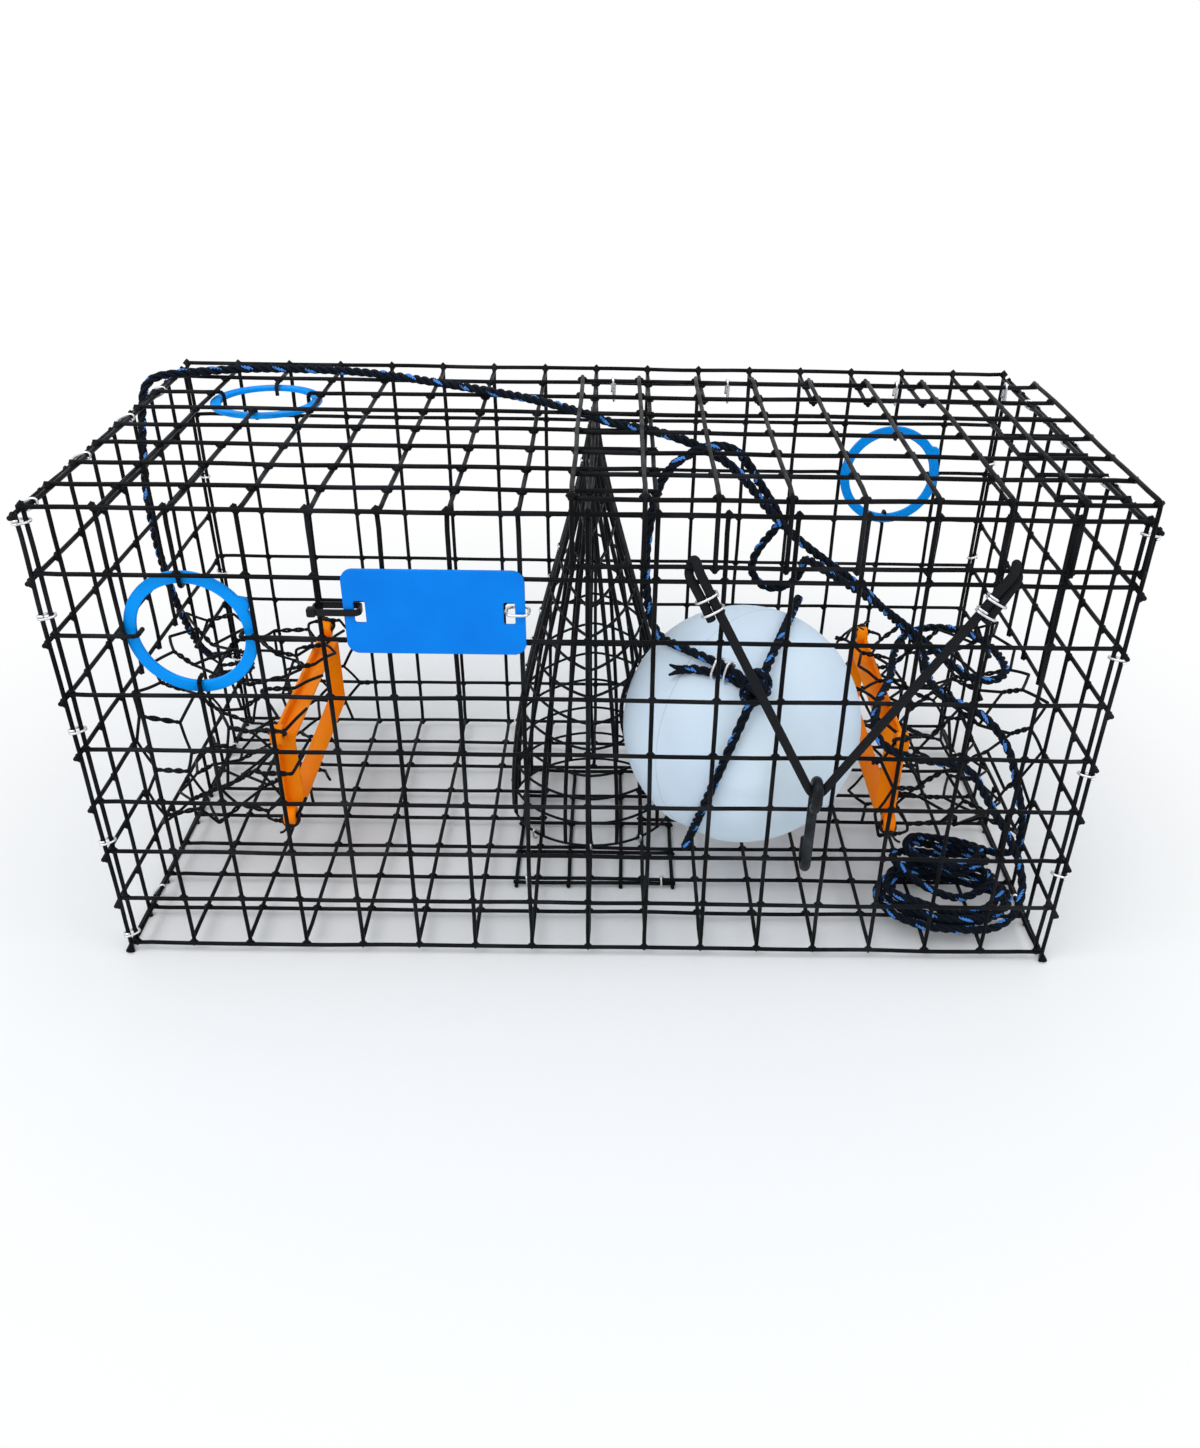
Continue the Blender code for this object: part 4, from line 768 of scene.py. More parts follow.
def make_hinge_rings(name, node, places, y, low, high, radius):
    """Rings round both wires of a hinge."""
    shape = Shape()
    for x in places:
        staple(shape, Vector((x, y, low)), Vector((x, y, high)), ACROSS, 4.4, radius=radius,
               turns=HINGE_TURNS)
    dress(shape.build(name, steel), "galvanised_ring", *(f"{node}_{k + 1}" for k in range(len(places))))


make_edge_rings()
make_hinge_rings("door_hinge_staples", "door_hinge_ring", DOOR_RING_X, HINGE_Y, TOP_Z - NEAR_LAYER,
                 DOOR_Z + NEAR_LAYER, STAPLE)
make_hinge_rings("bait_hinge_staples", "bait_hinge_ring", BAIT_RING_X, BAIT_HINGE_Y, BAIT_DOOR_Z,
                 FLOOR_Z + NEAR_LAYER, THIN_STAPLE)


# Escape rings

def escape_ring(name, place, corner, up, inward, turn=UPRIGHT):
    """Moulded ring with a nub, behind its panel and round the stub wires."""
    outline = []
    for x, y in circle((0, 0), ESCAPE_OUTER / 2, 96):
        off = (atan2(y, x) - NUB_AT) / NUB_HALF
        grow = 1 + (2 * NUB / ESCAPE_OUTER) * max(0.0, 1 - off ** 2)
        outline.append((x * grow, y * grow))
    middle = (corner + ACROSS * place[0] * CELL + up * place[1] * CELL
              + inward * (CLEAR + ESCAPE_THICK / 2))
    outlines = [outline, circle((0, 0), ESCAPE_INNER / 2, 96)]
    dress(plate(name + "_moulded", outlines, ESCAPE_THICK, 0.7, blue, middle, turn), "blue_plastic", name)


escape_ring("escape_ring_front", FRONT_RING, FRONT_CORNER, UP, BACK)
escape_ring("escape_ring_back", BACK_RING, BACK_CORNER, UP, -BACK)
escape_ring("escape_ring_top", TOP_RING, TOP_CORNER, BACK, -UP, LEVEL)


# Tag, its clip and its tie

def make_tag():
    """Bare plate with a slot near each end."""
    outlines = [rounded_rectangle(TAG_LONG, TAG_HIGH, TAG_CORNER, 12)]
    for side in (-1, 1):
        hole = rounded_rectangle(SLOT_WIDE, SLOT_HIGH, SLOT_CORNER, 4)
        outlines.append([(x + side * (TAG_LONG / 2 - SLOT_INSET), y) for x, y in hole])
    tag = plate("tag_moulded", outlines, TAG_THICK, 0.5, tag_blue, (TAG_X, TAG_Y, TAG_Z))
    dress(tag, "tag_plastic", "tag")


def level_band(left, right, front, back, corner):
    """Level path with round corners at the tag's height, between its sides."""
    outline = rounded_rectangle(right - left, back - front, corner, 6)
    return [((left + right) / 2 + x, (front + back) / 2 + y, TAG_Z) for x, y in outline]


def make_clip():
    """Wire ring through the tag's right slot and round the front panel's wires."""
    half = CLIP_WIRE / 2
    left = TAG_X + TAG_LONG / 2 - SLOT_INSET - SLOT_WIDE / 2 + GAP + half
    right = TAG_X + TAG_LONG / 2 + CLIP_ROOM + half
    front = TAG_Y - TAG_THICK / 2 - CLIP_ROOM - half
    clip = Shape()
    band = level_band(left, right, front, FRONT_Y + CLEAR + half, CLIP_CORNER)
    sweep(clip, band, half, closed=True)
    dress(clip.build("tag_staple", steel), "galvanised_ring", "tag_clip")


def make_tie():
    """Flat strap through the tag's slot and round a column of the front panel, with its head in front."""
    half = TIE_THICK / 2
    left = LEFT + TIE_COLUMN * CELL - HALF_WIRE - GAP - half
    front = TAG_Y - TAG_THICK / 2 - GAP - half
    right = TAG_X - TAG_LONG / 2 + SLOT_INSET
    band = level_band(left, right, front, FRONT_Y + CLEAR + half, TIE_CORNER)
    path, tangents, _, _ = frames(band, True)
    wide = np.array([0, 0, TIE_WIDE / 2])
    thick = np.cross(tangents, [0, 0, 1.0]) * STRAP_HALF
    low, high = path - wide, path + wide
    rings = np.stack([low - thick, low + thick, high + thick, high - thick], 1)
    strap = Shape()
    strap.add(rings.reshape(-1, 3), tube_faces(len(path), 4, True))
    dress(strap.build("cable_tie_strap", nylon, smooth=False), "black_nylon", "cable_tie")
    outline = rounded_rectangle(HEAD_WIDE, HEAD_HIGH, HEAD_CORNER, 5)
    head = plate("cable_tie_head", [outline], HEAD_DEEP, 0.8, nylon, (left - 0.4, front + 0.8, TAG_Z))
    dress(head, "black_nylon")


make_tag()
make_clip()
make_tie()


# Throat frames

CORNERS = ((1, 1), (-1, 1), (-1, -1), (1, -1))


def throat(name, side):
    """Frame with an eyelet at each corner and a sleeve round its window, tied to the net."""
    outer_wide, outer_high = THROAT_WIDE + 2 * THROAT_WALL, THROAT_HIGH + 2 * THROAT_WALL
    rim_wide, rim_high = outer_wide / 2 + FLANGE_RIM, outer_high / 2 + FLANGE_RIM
    outline, holes, lugs = [], [], []
    for k, (sx, sy) in enumerate(CORNERS):
        corner = (sx * rim_wide, sy * rim_high)
        outline += arc(corner, LUG_RADIUS, 90 * k - 90, 90 * k + 180, 18)
        holes.append(circle(corner, LUG_HOLE, 20))
        lugs += [circle(corner, LUG_RADIUS - LUG_INSET, 32), holes[-1]]
    window = rounded_rectangle(THROAT_WIDE, THROAT_HIGH, THROAT_WALL, 5)
    sleeve = rounded_rectangle(outer_wide, outer_high, 2 * THROAT_WALL, 8)
    turn = ((0, 0, side), (side, 0, 0), (0, 1, 0))
    face = THROAT_X - THROAT_WALL / 2
    for part, outlines, deep, bevel, x, nodes in (
            ("_lugs", lugs, LUG_THICK, 1.2, THROAT_X - LUG_THICK / 2, ()),
            ("_rim", [outline, window] + holes, THROAT_WALL, 0.6, face, (name,)),
            ("_sleeve", [sleeve, window], THROAT_SLEEVE, 0.8, face - THROAT_SLEEVE / 2, ())):
        piece = plate(name + part, outlines, deep, bevel, orange, (side * x, MIDDLE_Y, MOUTH_Z), turn)
        dress(piece, "orange_plastic", *nodes)
    ties = Shape()
    rng = random.Random(40 + side)
    for sy, sz in CORNERS:
        hole = Vector((side * face, MIDDLE_Y + sy * rim_wide, MOUTH_Z + sz * rim_high))
        out = Vector((0, sy * 0.7, sz * 0.7 + 0.1)).normalized()
        middle = hole + out * 3.0 - ACROSS * side * (LUG_THICK / 2 - 1)
        wrap = loop(middle, out * NET_TIE_OUT, ACROSS * side * NET_TIE_DEEP, 28)
        sweep(ties, wrap, NET_TIE, closed=True, wide=1.3)
        knob = middle + out * KNOB_OUT + ACROSS * side * 1.5
        tail = knob + Vector((side * rng.uniform(4, 9), sy * rng.uniform(2, 9), sz * rng.uniform(2, 6)))
        sweep(ties, [knob - out * 1.6, knob + out * 1.8], KNOB, around=6)
        sweep(ties, smooth_curve([knob, (knob + tail) / 2 + out * 1.5, tail], 4), TIE_TAIL, around=6)
    dress(ties.build(name + "_ties", nylon), "black_nylon")


throat("left_throat_frame", -1)
throat("right_throat_frame", 1)


# Netting of the funnels

def rectangle_point(share, half_wide, half_high):
    """Point at a share of the way round a rectangle, from the middle of its top."""
    turns = ((0, 1), (1, 1), (1, -1), (-1, -1), (-1, 1), (0, 1))
    corners = [Vector((x * half_wide, y * half_high)) for x, y in turns]
    run = (share % 1.0) * 4 * (half_wide + half_high)
    for a, b in zip(corners, corners[1:]):
        if run <= (b - a).length:
            return a.lerp(b, run / (b - a).length)
        run -= (b - a).length
    return corners[0]


def twisted_pair(shape, start, end, turns=NET_TWISTS):
    """Two wires wound round each other, as between the cells of hexagon netting."""
    axis = (end - start).normalized()
    side = axis.orthogonal().normalized()
    up = axis.cross(side)
    for phase in (0.0, pi):
        points = []
        for k in range(15):
            t = k / 14
            angle = phase + 2 * pi * turns * t
            reach = NET_STRAND * 1.02 * min(1.0, 6 * t + 0.25, 6 * (1 - t) + 0.25)
            points.append(start.lerp(end, t) + turned(side, up, angle) * reach)
        sweep(shape, points, NET_STRAND, around=6)


def scatter(rng, amount):
    """A random shift of up to the amount on each axis."""
    return Vector([rng.uniform(-1, 1) * amount for _ in range(3)])


def funnel(name, side, seed):
    """Hexagon netting with twisted pairs, a little crumpled, from the mouth to the throat frame."""
    rng = random.Random(seed)
    shape = Shape()
    inward = ACROSS * -side
    inset = OVERHANG + GAP + NET_WIRE / 2
    rim = THROAT_WALL + FLANGE_RIM / 2
    mouth = Vector(((MOUTH_COLUMNS[1] - MOUTH_COLUMNS[0]) * CELL / 2 - inset,
                    (MOUTH_ROWS[1] - MOUTH_ROWS[0]) * CELL / 2 - inset, END_X - LAYER))
    inner = Vector((THROAT_WIDE / 2 + rim, THROAT_HIGH / 2 + rim, THROAT_X + GAP + NET_WIRE / 2))
    rings = []
    for r in range(NET_ALONG + 1):
        ring = []
        for i in range(NET_AROUND):
            up = NET_ZIGZAG if (i + r) % 2 == 0 else -NET_ZIGZAG
            share = (r + up + NET_ZIGZAG) / (NET_ALONG + 2 * NET_ZIGZAG)
            half_wide, half_high, x = mouth + (inner - mouth) * share
            spot = rectangle_point(i / NET_AROUND, half_wide, half_high)
            loose = NET_LOOSE * sin(pi * min(share * 0.9 + 0.03, 1.0))
            ring.append(Vector((side * x, MIDDLE_Y + spot.x, MOUTH_Z + spot.y)) + scatter(rng, loose))
        rings.append(ring)

    def strand(points):
        sweep(shape, points, NET_WIRE / 2, around=6)

    for ring in rings:
        for start, end in zip(ring, ring[1:] + ring[:1]):
            strand(smooth_curve([start, (start + end) / 2 + scatter(rng, NET_MESS), end], 4))
    for r in range(NET_ALONG):
        for i in range(r % 2, NET_AROUND, 2):
            twisted_pair(shape, rings[r][i], rings[r + 1][i])
    past = []
    for start in rings[NET_ALONG][(NET_ALONG + 1) % 2::2]:
        out = Vector((0, start.y - MIDDLE_Y, (start.z - MOUTH_Z) * 2.2)).normalized()
        over = start + out * FRINGE_OVER + inward * FRINGE_OUT
        end = over + inward * rng.uniform(14, 22) + out * rng.uniform(-1, 4)
        strand(smooth_curve([start, start + out * FRINGE_OUT, over], 4))
        twisted_pair(shape, over, end)
        past.append((end, out))
    for k, ((end, out), (after, _)) in enumerate(zip(past, past[1:] + past[:1])):
        tip = (end + after) / 2 + inward * rng.uniform(7, 13) + out * rng.uniform(-1, 3)
        whole = rng.random() < 0.6
        strand([end, end.lerp(tip, 0.5) + out, tip])
        if whole:
            strand([after, after.lerp(tip, 0.5) + out, tip])
            if k % 2:
                twisted_pair(shape, tip, tip + inward * rng.uniform(6, 12) + out * 1.5, 1.0)
    dress(shape.build(name + "_netting", net_black), "netting", name)


funnel("left_funnel", -1, 21)
funnel("right_funnel", 1, 22)


# Bait well

def well_point(turn, rise):
    """Point of the well's surface at a share of a turn and of its height."""
    turn = turn % 1.0
    side = 1 if turn <= 0.5 else -1
    share = 2 * turn if turn <= 0.5 else 2 - 2 * turn
    across = WELL_PINCH + (WELL_FOOT - WELL_PINCH) * sin(pi / 2 * max(0.0, 1 - rise) ** WELL_TAPER)
    along = WELL_FOOT + (WELL_PINCH_LONG - WELL_FOOT) * rise
    middle = WELL_FOOT_Y + (WELL_PINCH_Y - WELL_FOOT_Y) * rise
    travel = (1 - rise) * cos(pi * share) + rise * (1 - 2 * share)
    bulge = (1 - min(travel ** 2, 1.0)) ** (0.5 + rise / 2)
    spot = Vector((side * across * bulge, middle + along * travel, WELL_LOW + (WELL_HIGH - WELL_LOW) * rise))
    away = spot - FLOAT
    clear = FLOAT_RADIUS + GAP + WELL_WIRE / 2 + WELL_CLEARANCE
    if away.length < clear:
        spot = FLOAT + away.normalized() * clear
    return spot


def make_well():
    """Dark mesh tube, round at the floor and flat under the top, with its folded seams and staples."""
    rng = random.Random(31)
    shape = Shape()

    def upright(turn, drift=0.0):
        rises = [k / WELL_STEPS for k in range(WELL_STEPS + 1)]
        points = [well_point(turn + drift * sin(pi * rise), rise) for rise in rises]
        sweep(shape, points, WELL_WIRE / 2)

    for i in range(WELL_SIDES):
        upright(i / WELL_SIDES, rng.uniform(-WELL_DRIFT, WELL_DRIFT))
    for turn in SEAM_TURNS:
        upright(turn)
    for j in range(WELL_ROWS + 1):
        lean, phase = rng.uniform(-HOOP_LEAN, HOOP_LEAN), rng.uniform(0, 6.28)
        points = [well_point(k / HOOP_STEPS, j / WELL_ROWS) for k in range(HOOP_STEPS)]
        if 0 < j < WELL_ROWS:
            for k, spot in enumerate(points):
                spot.z += lean * sin(2 * pi * k / HOOP_STEPS + phase)
        sweep(shape, points, WELL_HOOP / 2, closed=True)
    dress(shape.build("bait_well_wires", net_black), "netting", "bait_well")
    rings = Shape()
    for z in SEAM_STAPLES:
        rise = min((z + FLOOR_Z - WELL_LOW) / (WELL_HIGH - WELL_LOW), SEAM_TOP)
        spot = well_point(SEAM_AT, rise)
        staple(rings, spot - BACK * SEAM_HALF, spot + BACK * SEAM_HALF,
               well_point(SEAM_AT, rise + 0.01) - spot, 2.6, WELL_WIRE / 2, THIN_STAPLE)
    for turn in FOOT_STAPLES:
        spot = well_point(turn, 0.0)
        staple(rings, spot - UP * FOOT_LOW, spot + UP * FOOT_HIGH,
               well_point(turn + 0.01, 0.0) - spot, 0.3, WELL_WIRE / 2, THIN_STAPLE)
    dress(rings.build("bait_well_staples", steel), "galvanised_ring")


make_well()


# Float

def make_float():
    """Moulded foam ball with flattened ends and a bore, rounded at their edges."""
    flat = asin(FLOAT_FLAT / FLOAT_RADIUS)
    end = FLOAT_RADIUS * cos(flat)
    edge = [(FLOAT_BORE + out, end - below) for out, below in BORE_EDGE]
    ball = [(FLOAT_RADIUS * sin(a), FLOAT_RADIUS * cos(a))
            for a in np.linspace(flat, pi - flat, FLOAT_RINGS)]
    profile = [(FLOAT_BORE, 0.0)] + edge + ball + [(out, -high) for out, high in reversed(edge)]
    turn = FLOAT_AXIS.to_track_quat("Z", "Y").to_matrix()
    shape = Shape()
    shape.add([FLOAT + turn @ Vector((x, y, high)) for out, high in profile
               for x, y in circle((0, 0), out, FLOAT_STEPS)],
              [[a, d, c, b] for a, b, c, d in tube_faces(len(profile), FLOAT_STEPS, True)])
    dress(shape.build("float_ball", foam), "foam", "float")
    seam = Shape()
    across = SEAM_FACING.orthogonal().normalized()
    ride = sqrt((FLOAT_RADIUS - SEAM_SUNK) ** 2 - SEAM_OFF ** 2)
    spots = loop(SEAM_FACING * SEAM_OFF, across * ride, SEAM_FACING.cross(across) * ride, 160)
    runs = [[]]
    for spot in spots + spots[:1]:
        if abs(spot.dot(FLOAT_AXIS)) > end - SEAM_STOP:
            runs.append([])
        else:
            runs[-1].append(FLOAT + spot)
    for run in runs:
        if len(run) > 3:
            sweep(seam, run, SEAM_WIRE, around=6)
    dress(seam.build("float_seam", foam_seam), "foam")


make_float()


# Rope

OUTWARD = (TOWARD_FRONT - FLOAT_AXIS * TOWARD_FRONT.dot(FLOAT_AXIS)).normalized()
KNOT_WAY = turned(OUTWARD, FLOAT_AXIS, KNOT_ANGLE)
KNOT = FLOAT + KNOT_WAY * (FLOAT_RADIUS + GAP + KNOT_SIZE[0])


def rope(shape, points, start_turn=0.0):
    """Three strands wound along a path; a blue yarn comes to the surface once in each turn."""
    path, tangents, sides, ups = frames(evenly(points, ROPE_STEP))
    along = run_along(path)
    middles = (np.arange(STRAND_SIDES) + 0.5) * 2 * pi / STRAND_SIDES
    outside = np.minimum(middles, 2 * pi - middles) < YARN_SHOWN
    yarn = -2 * pi * along[:-1, None] / YARN_PERIOD
    apart = np.abs((middles - yarn + pi) % (2 * pi) - pi)
    tracer = (outside & (apart < YARN_WIDE)).astype(int).ravel().tolist()
    for s in range(3):
        turn = start_turn + 2 * pi * (along / LAY + s / 3)
        out = np.cos(turn)[:, None] * sides + np.sin(turn)[:, None] * ups
        lean = np.cross(tangents, out) * (2 * pi * STRAND_OUT / LAY) + tangents
        lean /= np.linalg.norm(lean, axis=1)[:, None]
        centres = (path + out * STRAND_OUT)[:, None, :]
        rings = centres + circles(out, np.cross(lean, out), STRAND_SIDES) * STRAND
        tube(shape, rings, along, slots=None if s else tracer)


def heap_points():
    """Loops laid one on another: each point rests on the rope already under it, with gentle humps."""
    keys = np.array(HEAP_LOOPS, float)
    turns = np.linspace(0, keys[-1, 0], HEAP_FINE)
    across, back, wide, deep = (averaged(np.interp(turns, keys[:, 0], column), HEAP_SMOOTH)
                                for column in keys.T[1:])
    angle = -pi / 2 - 2 * pi * turns
    waves = [np.sin(pace * angle + start) for pace, start in HEAP_WAVES]
    mess = HEAP_MESS * np.clip(np.minimum(turns, turns[-1] - turns) / HEAP_SETTLES, 0, 1)
    wide, deep = (size * (1 - mess * (0.5 + 0.5 * wave)) for size, wave in zip((wide, deep), waves))
    x = across + wide * np.cos(angle) + HEAP_SWAY[0] * mess * waves[2]
    y = back + deep * np.sin(angle) + HEAP_SWAY[1] * mess * waves[3] + MIDDLE_Y
    path = evenly(np.stack([x, y, np.zeros_like(x)], axis=1), ROPE_STEP)
    count = len(path)
    apart = np.linalg.norm(path[:, None, :2] - path[None, :, :2], axis=2)
    lift = np.sqrt(np.clip(ROPE_LOOK ** 2 - apart ** 2, 0, None))
    near = apart < ROPE_LOOK
    height = np.full(count, FLOOR_Z + CLEAR + ROPE / 2)
    step = HEAP_SLOPE * ROPE_STEP
    for _ in range(4):
        for i in range(1, count):
            under = np.nonzero(near[i, :max(i - 10, 0)])[0]
            if len(under):
                height[i] = max(height[i], (height[under] + lift[i, under]).max())
            height[i] = max(height[i], height[i - 1] - step)
        for i in range(count - 2, -1, -1):
            height[i] = max(height[i], height[i + 1] - step)
    path[:, 2] = averaged(height, 6)
    return [Vector(p) for p in path]


def make_line():
    """The whole line in one run: from the back corner to the heap, and from the heap to the knot."""
    heap = heap_points()
    trap = [Vector(p) + SHIFT for p in TRAP_ROUTE]
    to_float = [Vector(p) + SHIFT for p in FLOAT_ROUTE]
    to_float.append(KNOT + (to_float[-1] - KNOT).normalized() * KNOT_SIZE[1] * 0.5)
    raised = max(0.0, heap[-1].z - trap[-1].z)
    for back, share in enumerate(LANDING_SHARES, 1):
        trap[-back].z += raised * share
    whole = smooth_curve(trap + heap[HEAP_ENDS:-HEAP_ENDS:4][::-1] + to_float, 8)
    path = eased(evenly(whole, ROPE_STEP), LINE_EASED)
    shape = Shape()
    rope(shape, path)
    line = shape.build("pot_line", rope_black, rope_blue)
    dress(line, "rope", "line_trap_side", "line_heap", "line_float_side")


def make_bridle():
    """Loop of rope through the float's bore and round its front, from the knot and back to it."""
    reach, foot = BRIDLE_RIDE * sin(BRIDLE_LEAVES), BRIDLE_RIDE * cos(BRIDLE_LEAVES)
    knot_half = 0.6 * KNOT_SIZE[2] / BRIDLE_RIDE

    def from_knot(start, end, steps):
        """Over the ball, and off it beside the knot."""
        spots = []
        for k in range(steps + 1):
            angle = start + (end - start) * k / steps
            radius = BRIDLE_RIDE + (KNOT_SIZE[0] - ROPE / 2) * (1 - k / steps) ** 3
            spots.append((radius * cos(angle), radius * sin(angle)))
        return spots

    inside = (foot - 2 * BRIDLE_TURN) / 3
    mouth, deep = reach - BRIDLE_MOUTH, reach - BRIDLE_INSIDE
    flat = from_knot(KNOT_ANGLE + knot_half, BRIDLE_LEAVES, 8)
    flat += arc((foot - BRIDLE_TURN, reach), BRIDLE_TURN, 30, 150, 4)
    flat += [(inside, mouth), (0.0, deep), (0.0, -deep), (inside, -mouth)]
    flat += arc((foot - BRIDLE_TURN, -reach), BRIDLE_TURN, 210, 330, 4)
    flat += from_knot(KNOT_ANGLE - knot_half, -BRIDLE_LEAVES, 16)[::-1]
    shape = Shape()
    rope(shape, smooth_curve([FLOAT + OUTWARD * p + FLOAT_AXIS * q for p, q in flat], 6), start_turn=1.0)
    dress(shape.build("float_bridle_rope", rope_black, rope_blue), "rope", "float_bridle")


def make_knot():
    """Pulled-tight knot where the line joins the bridle, with its tail held by two small rings."""
    across = KNOT_WAY.cross(FLOAT_AXIS).normalized()
    along = across.cross(KNOT_WAY)
    shape = Shape()
    coil = []
    for k in range(COIL_STEPS + 1):
        turn = 2 * pi * COIL_TURNS * k / COIL_STEPS + 0.6
        share = 2 * k / COIL_STEPS - 1
        reach = COIL_REACH - COIL_NARROWING * abs(share)
        coil.append(KNOT + along * share * COIL_HALF + turned(KNOT_WAY, across, turn) * reach)
    rope(shape, coil, start_turn=0.4)
    wrap = []
    for k in range(WRAP_STEPS + 1):
        turn = 2 * pi * k / WRAP_STEPS
        wrap.append(KNOT + along * WRAP_LONG * cos(turn)
                    + across * (WRAP_WIDE * sin(turn) + 0.6)
                    + KNOT_WAY * (WRAP_DEEP * sin(2 * turn) - 0.4))
    rope(shape, wrap, start_turn=1.9)
    tail = [Vector(p) + SHIFT for p in TAIL_ROUTE]
    rope(shape, smooth_curve([KNOT] + tail, 8), start_turn=2.2)
    way = (tail[-1] - tail[-2]).normalized()
    side = way.orthogonal().normalized()
    up = way.cross(side)
    for k in range(3):
        lean = turned(side, up, 2.1 * k + 0.5)
        tip = tail[-1] + lean * 1.4
        sweep(shape, [tip - way * 2, tip + way * 3 + lean * 0.6, tip + way * 7 + lean * 2.6], FRAYED)
    dress(shape.build("float_knot_rope", rope_black, rope_blue), "rope", "float_knot")
    rings = Shape()
    line = [Vector(p) + SHIFT for p in FLOAT_ROUTE[-2:]]
    for share, other in ((0.37, tail[2]), (0.97, tail[1])):
        one = line[0].lerp(line[1], share)
        staple(rings, one, other, line[1] - line[0], 0.8, ROPE_LOOK / 2, KNOT_STAPLE)
    dress(rings.build("knot_tail_rings", steel), "galvanised_ring")


make_line()
make_bridle()
make_knot()


# Hook, bungee and its clamps

def make_hook():
    """Rod with an eye at its top and a bend round a row of the front panel."""
    path = [(SHANK_Y - HOOK_ROD - GAP, HOOK_TOP_Z - HOOK_ROUND - HOOK_CLOSED),
            (SHANK_Y - 2 * HOOK_ROUND, HOOK_TOP_Z - 2 * HOOK_ROUND)]
    path += arc((SHANK_Y - HOOK_ROUND, HOOK_TOP_Z - HOOK_ROUND), HOOK_ROUND, 180, 0, 16)
    path += arc((FRONT_Y, HOOK_ROW_Z), HOOK_BEND, 180, 360, 16)
    path.append((FRONT_Y + HOOK_BEND, HOOK_ROW_Z + HOOK_TIP))
    shape = Shape()
    points = evenly([(HOOK_X, y, z) for y, z in path], ROD_STEP)
    sweep(shape, eased(points, 3), HOOK_ROD / 2, around=16)
    dress(shape.build("hook_rod", rod_black), "coated_rod", "hook", body="hook")


def make_bungee():
    """Cord looped through the hook's eye, each end wound once round the flange wire and clamped."""
    wire_z = DOOR_Z - CELL
    wrap = HALF_WIRE + GAP + BUNGEE / 2
    beside = BUNGEE + GAP
    eye_y, eye_z = SHANK_Y - HOOK_ROUND, HOOK_TOP_Z - HOOK_ROD - GAP - BUNGEE / 2
    halves = []
    for end, side in zip(BUNGEE_ENDS, (-1, 1)):
        start = Vector((end, FLANGE_Y - wrap, wire_z))
        lean = (Vector((HOOK_X + side * HOOK_ROUND, eye_y, eye_z)) - start).normalized()
        outside = (lean.cross(BACK) * side).normalized() * beside
        strand = [start + outside + lean * reach for reach in (TAIL, TAIL / 2)]
        for k in range(BUNGEE_STEPS + 1):
            angle = radians(BUNGEE_START + BUNGEE_TURNED * k / BUNGEE_STEPS)
            x = end + side * beside * (1 - k / BUNGEE_STEPS)
            strand.append(Vector((x, FLANGE_Y + wrap * cos(angle), wire_z + wrap * sin(angle))))
        halves.append(strand + [start + lean * TAIL / 3, start + lean * TAIL])
    middle = [Vector((HOOK_X + k / 4 * BUNGEE, eye_y, eye_z + (k / 4) ** 2 * BUNGEE)) for k in range(-4, 5)]
    shape = Shape()
    points = evenly(halves[0] + middle + halves[1][::-1], ROD_STEP)
    sweep(shape, eased(points, 4), BUNGEE / 2, around=16)
    cord = shape.build("bungee_sheathed", sheath)
    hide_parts("bungee_cord")
    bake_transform(cord)
    rings = Shape()
    for tail_end, tail, *_, leg in halves:
        for share in CLAMP_SHARES:
            one = tail.lerp(tail_end, share)
            staple(rings, one, one + leg - tail_end, tail_end - tail, 4.9, BUNGEE / 2, THIN_STAPLE,
                   CLAMP_TURNS)
    names = [f"bungee_clamp_{side}_{k}" for side in ("left", "right") for k in (1, 2)]
    dress(rings.build("bungee_clamps", steel), "galvanised_ring", *names, body="bungee")


make_hook()
make_bungee()


# Stage, light and camera

FADE = (0.28, 0.72)
AIM = Vector((0, 0, 0.1))
STAGE_HALF = 12
SENSOR = 36.0
FRAME_WIDE, FRAME_HIGH = 1200, 1448
FOCAL, CENTRE_ACROSS, CENTRE_DOWN = 1212.48, 618.67, 797.66
EYE = Vector((13.436, -780.744 + MIDDLE_Y, 539.188 + FLOOR_Z))
EYE_RIGHT, EYE_DOWN = Vector((0.99990, 0.00008, 0.01381)), Vector((0.01155, -0.55314, -0.83301))


def seen_rays(tree):
    """One for camera, glossy and transmission rays, and zero for the others."""
    rays = add_node(tree, "LightPath")
    last = rays["Is Camera Ray"]
    for name in ("Is Glossy Ray", "Is Transmission Ray"):
        last = combined(tree, "MAXIMUM", last, rays[name])
    return last


def mixed(tree, share, one, other, output):
    """Sends a mix of two shaders to the output node."""
    mix = add_node(tree, "MixShader", {"Fac": share, 1: one, 2: other})
    fill(tree, tree.nodes[output], {"Surface": mix["Shader"]})


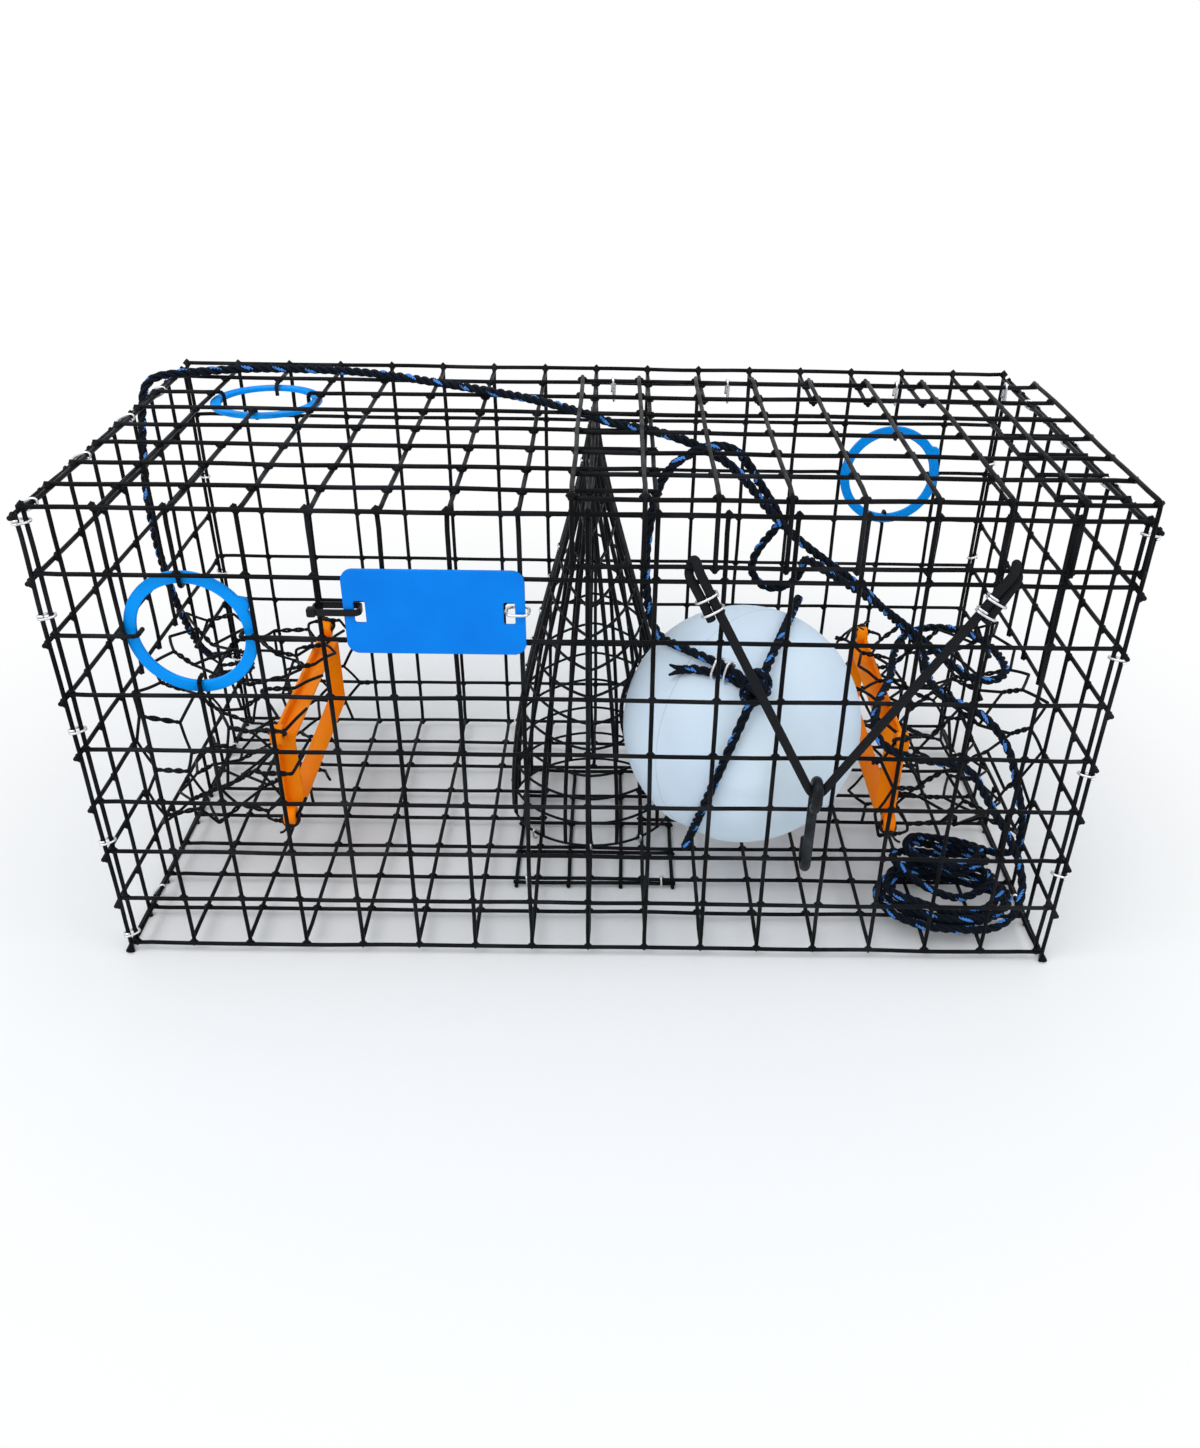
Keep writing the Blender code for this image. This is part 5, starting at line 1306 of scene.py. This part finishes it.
def ground_material():
    """Pale ground that keeps the shadow, and fades to white away from the object."""
    material, tree, shader = new_material("ground_pale")
    fill(tree, shader, {"Base Color": (0.86, 0.865, 0.87, 1.0), "Roughness": 0.9, "Specular IOR Level": 0.1})
    place = add_node(tree, "TexCoord")["Object"]
    reach = add_node(tree, "VectorMath", {0: place}, operation="LENGTH")["Value"]
    far = add_node(tree, "MapRange", {"Value": reach, "From Min": FADE[0], "From Max": FADE[1]},
                   interpolation_type="SMOOTHSTEP")["Result"]
    shown = combined(tree, "MULTIPLY", far, seen_rays(tree))
    mixed(tree, shown, shader.outputs["BSDF"], add_node(tree, "Emission")["Emission"], "Material Output")
    return material


def make_world():
    """Soft pale light, and plain white where the background itself is seen."""
    world = bpy.data.worlds.new("studio")
    bpy.context.scene.world = world
    world.use_nodes = True
    tree = world.node_tree
    light = fill(tree, tree.nodes["Background"], {"Color": (0.92, 0.96, 1.0, 1.0), "Strength": 0.7})
    white = add_node(tree, "Background", {"Color": (1.0, 1.0, 1.0, 1.0), "Strength": 1.0})
    mixed(tree, seen_rays(tree), light["Background"], white["Background"], "World Output")


def area_light(name, place, size, watts):
    light = bpy.data.lights.new(name, "AREA")
    light.shape = "SQUARE"
    light.size = size
    light.energy = watts
    obj = add_object(name, light)
    obj.location = place
    obj.rotation_mode = "QUATERNION"
    obj.rotation_quaternion = (AIM - Vector(place)).to_track_quat("-Z", "Y")


def make_camera():
    """The photograph's view, from a focal length and a middle of the picture in pixels."""
    camera = bpy.data.cameras.new("camera")
    camera.sensor_width = SENSOR
    camera.lens = FOCAL / FRAME_HIGH * SENSOR
    camera.shift_x = (FRAME_WIDE / 2 - CENTRE_ACROSS) / FRAME_HIGH
    camera.shift_y = (CENTRE_DOWN - FRAME_HIGH / 2) / FRAME_HIGH
    camera.clip_start = 0.05
    camera.clip_end = 20.0
    eye = add_object("camera", camera)
    turn = Matrix((EYE_RIGHT, -EYE_DOWN, -EYE_RIGHT.cross(EYE_DOWN))).transposed().to_4x4()
    eye.matrix_world = Matrix.Translation(EYE * MM) @ turn
    bpy.context.scene.camera = eye


floor_mesh = bpy.data.meshes.new("floor")
floor_corners = [(x * STAGE_HALF, y * STAGE_HALF, 0) for x, y in ((-1, -1), (1, -1), (1, 1), (-1, 1))]
floor_mesh.from_pydata(floor_corners, [], [(0, 1, 2, 3)])
floor_mesh.materials.append(ground_material())
add_object("floor", floor_mesh)
make_world()
area_light("key", (-1.2, -1.4, 2.6), 2.2, 46.0)
area_light("fill", (1.8, -0.6, 1.8), 2.0, 16.0)
make_camera()
bpy.context.scene.view_settings.view_transform = "Standard"
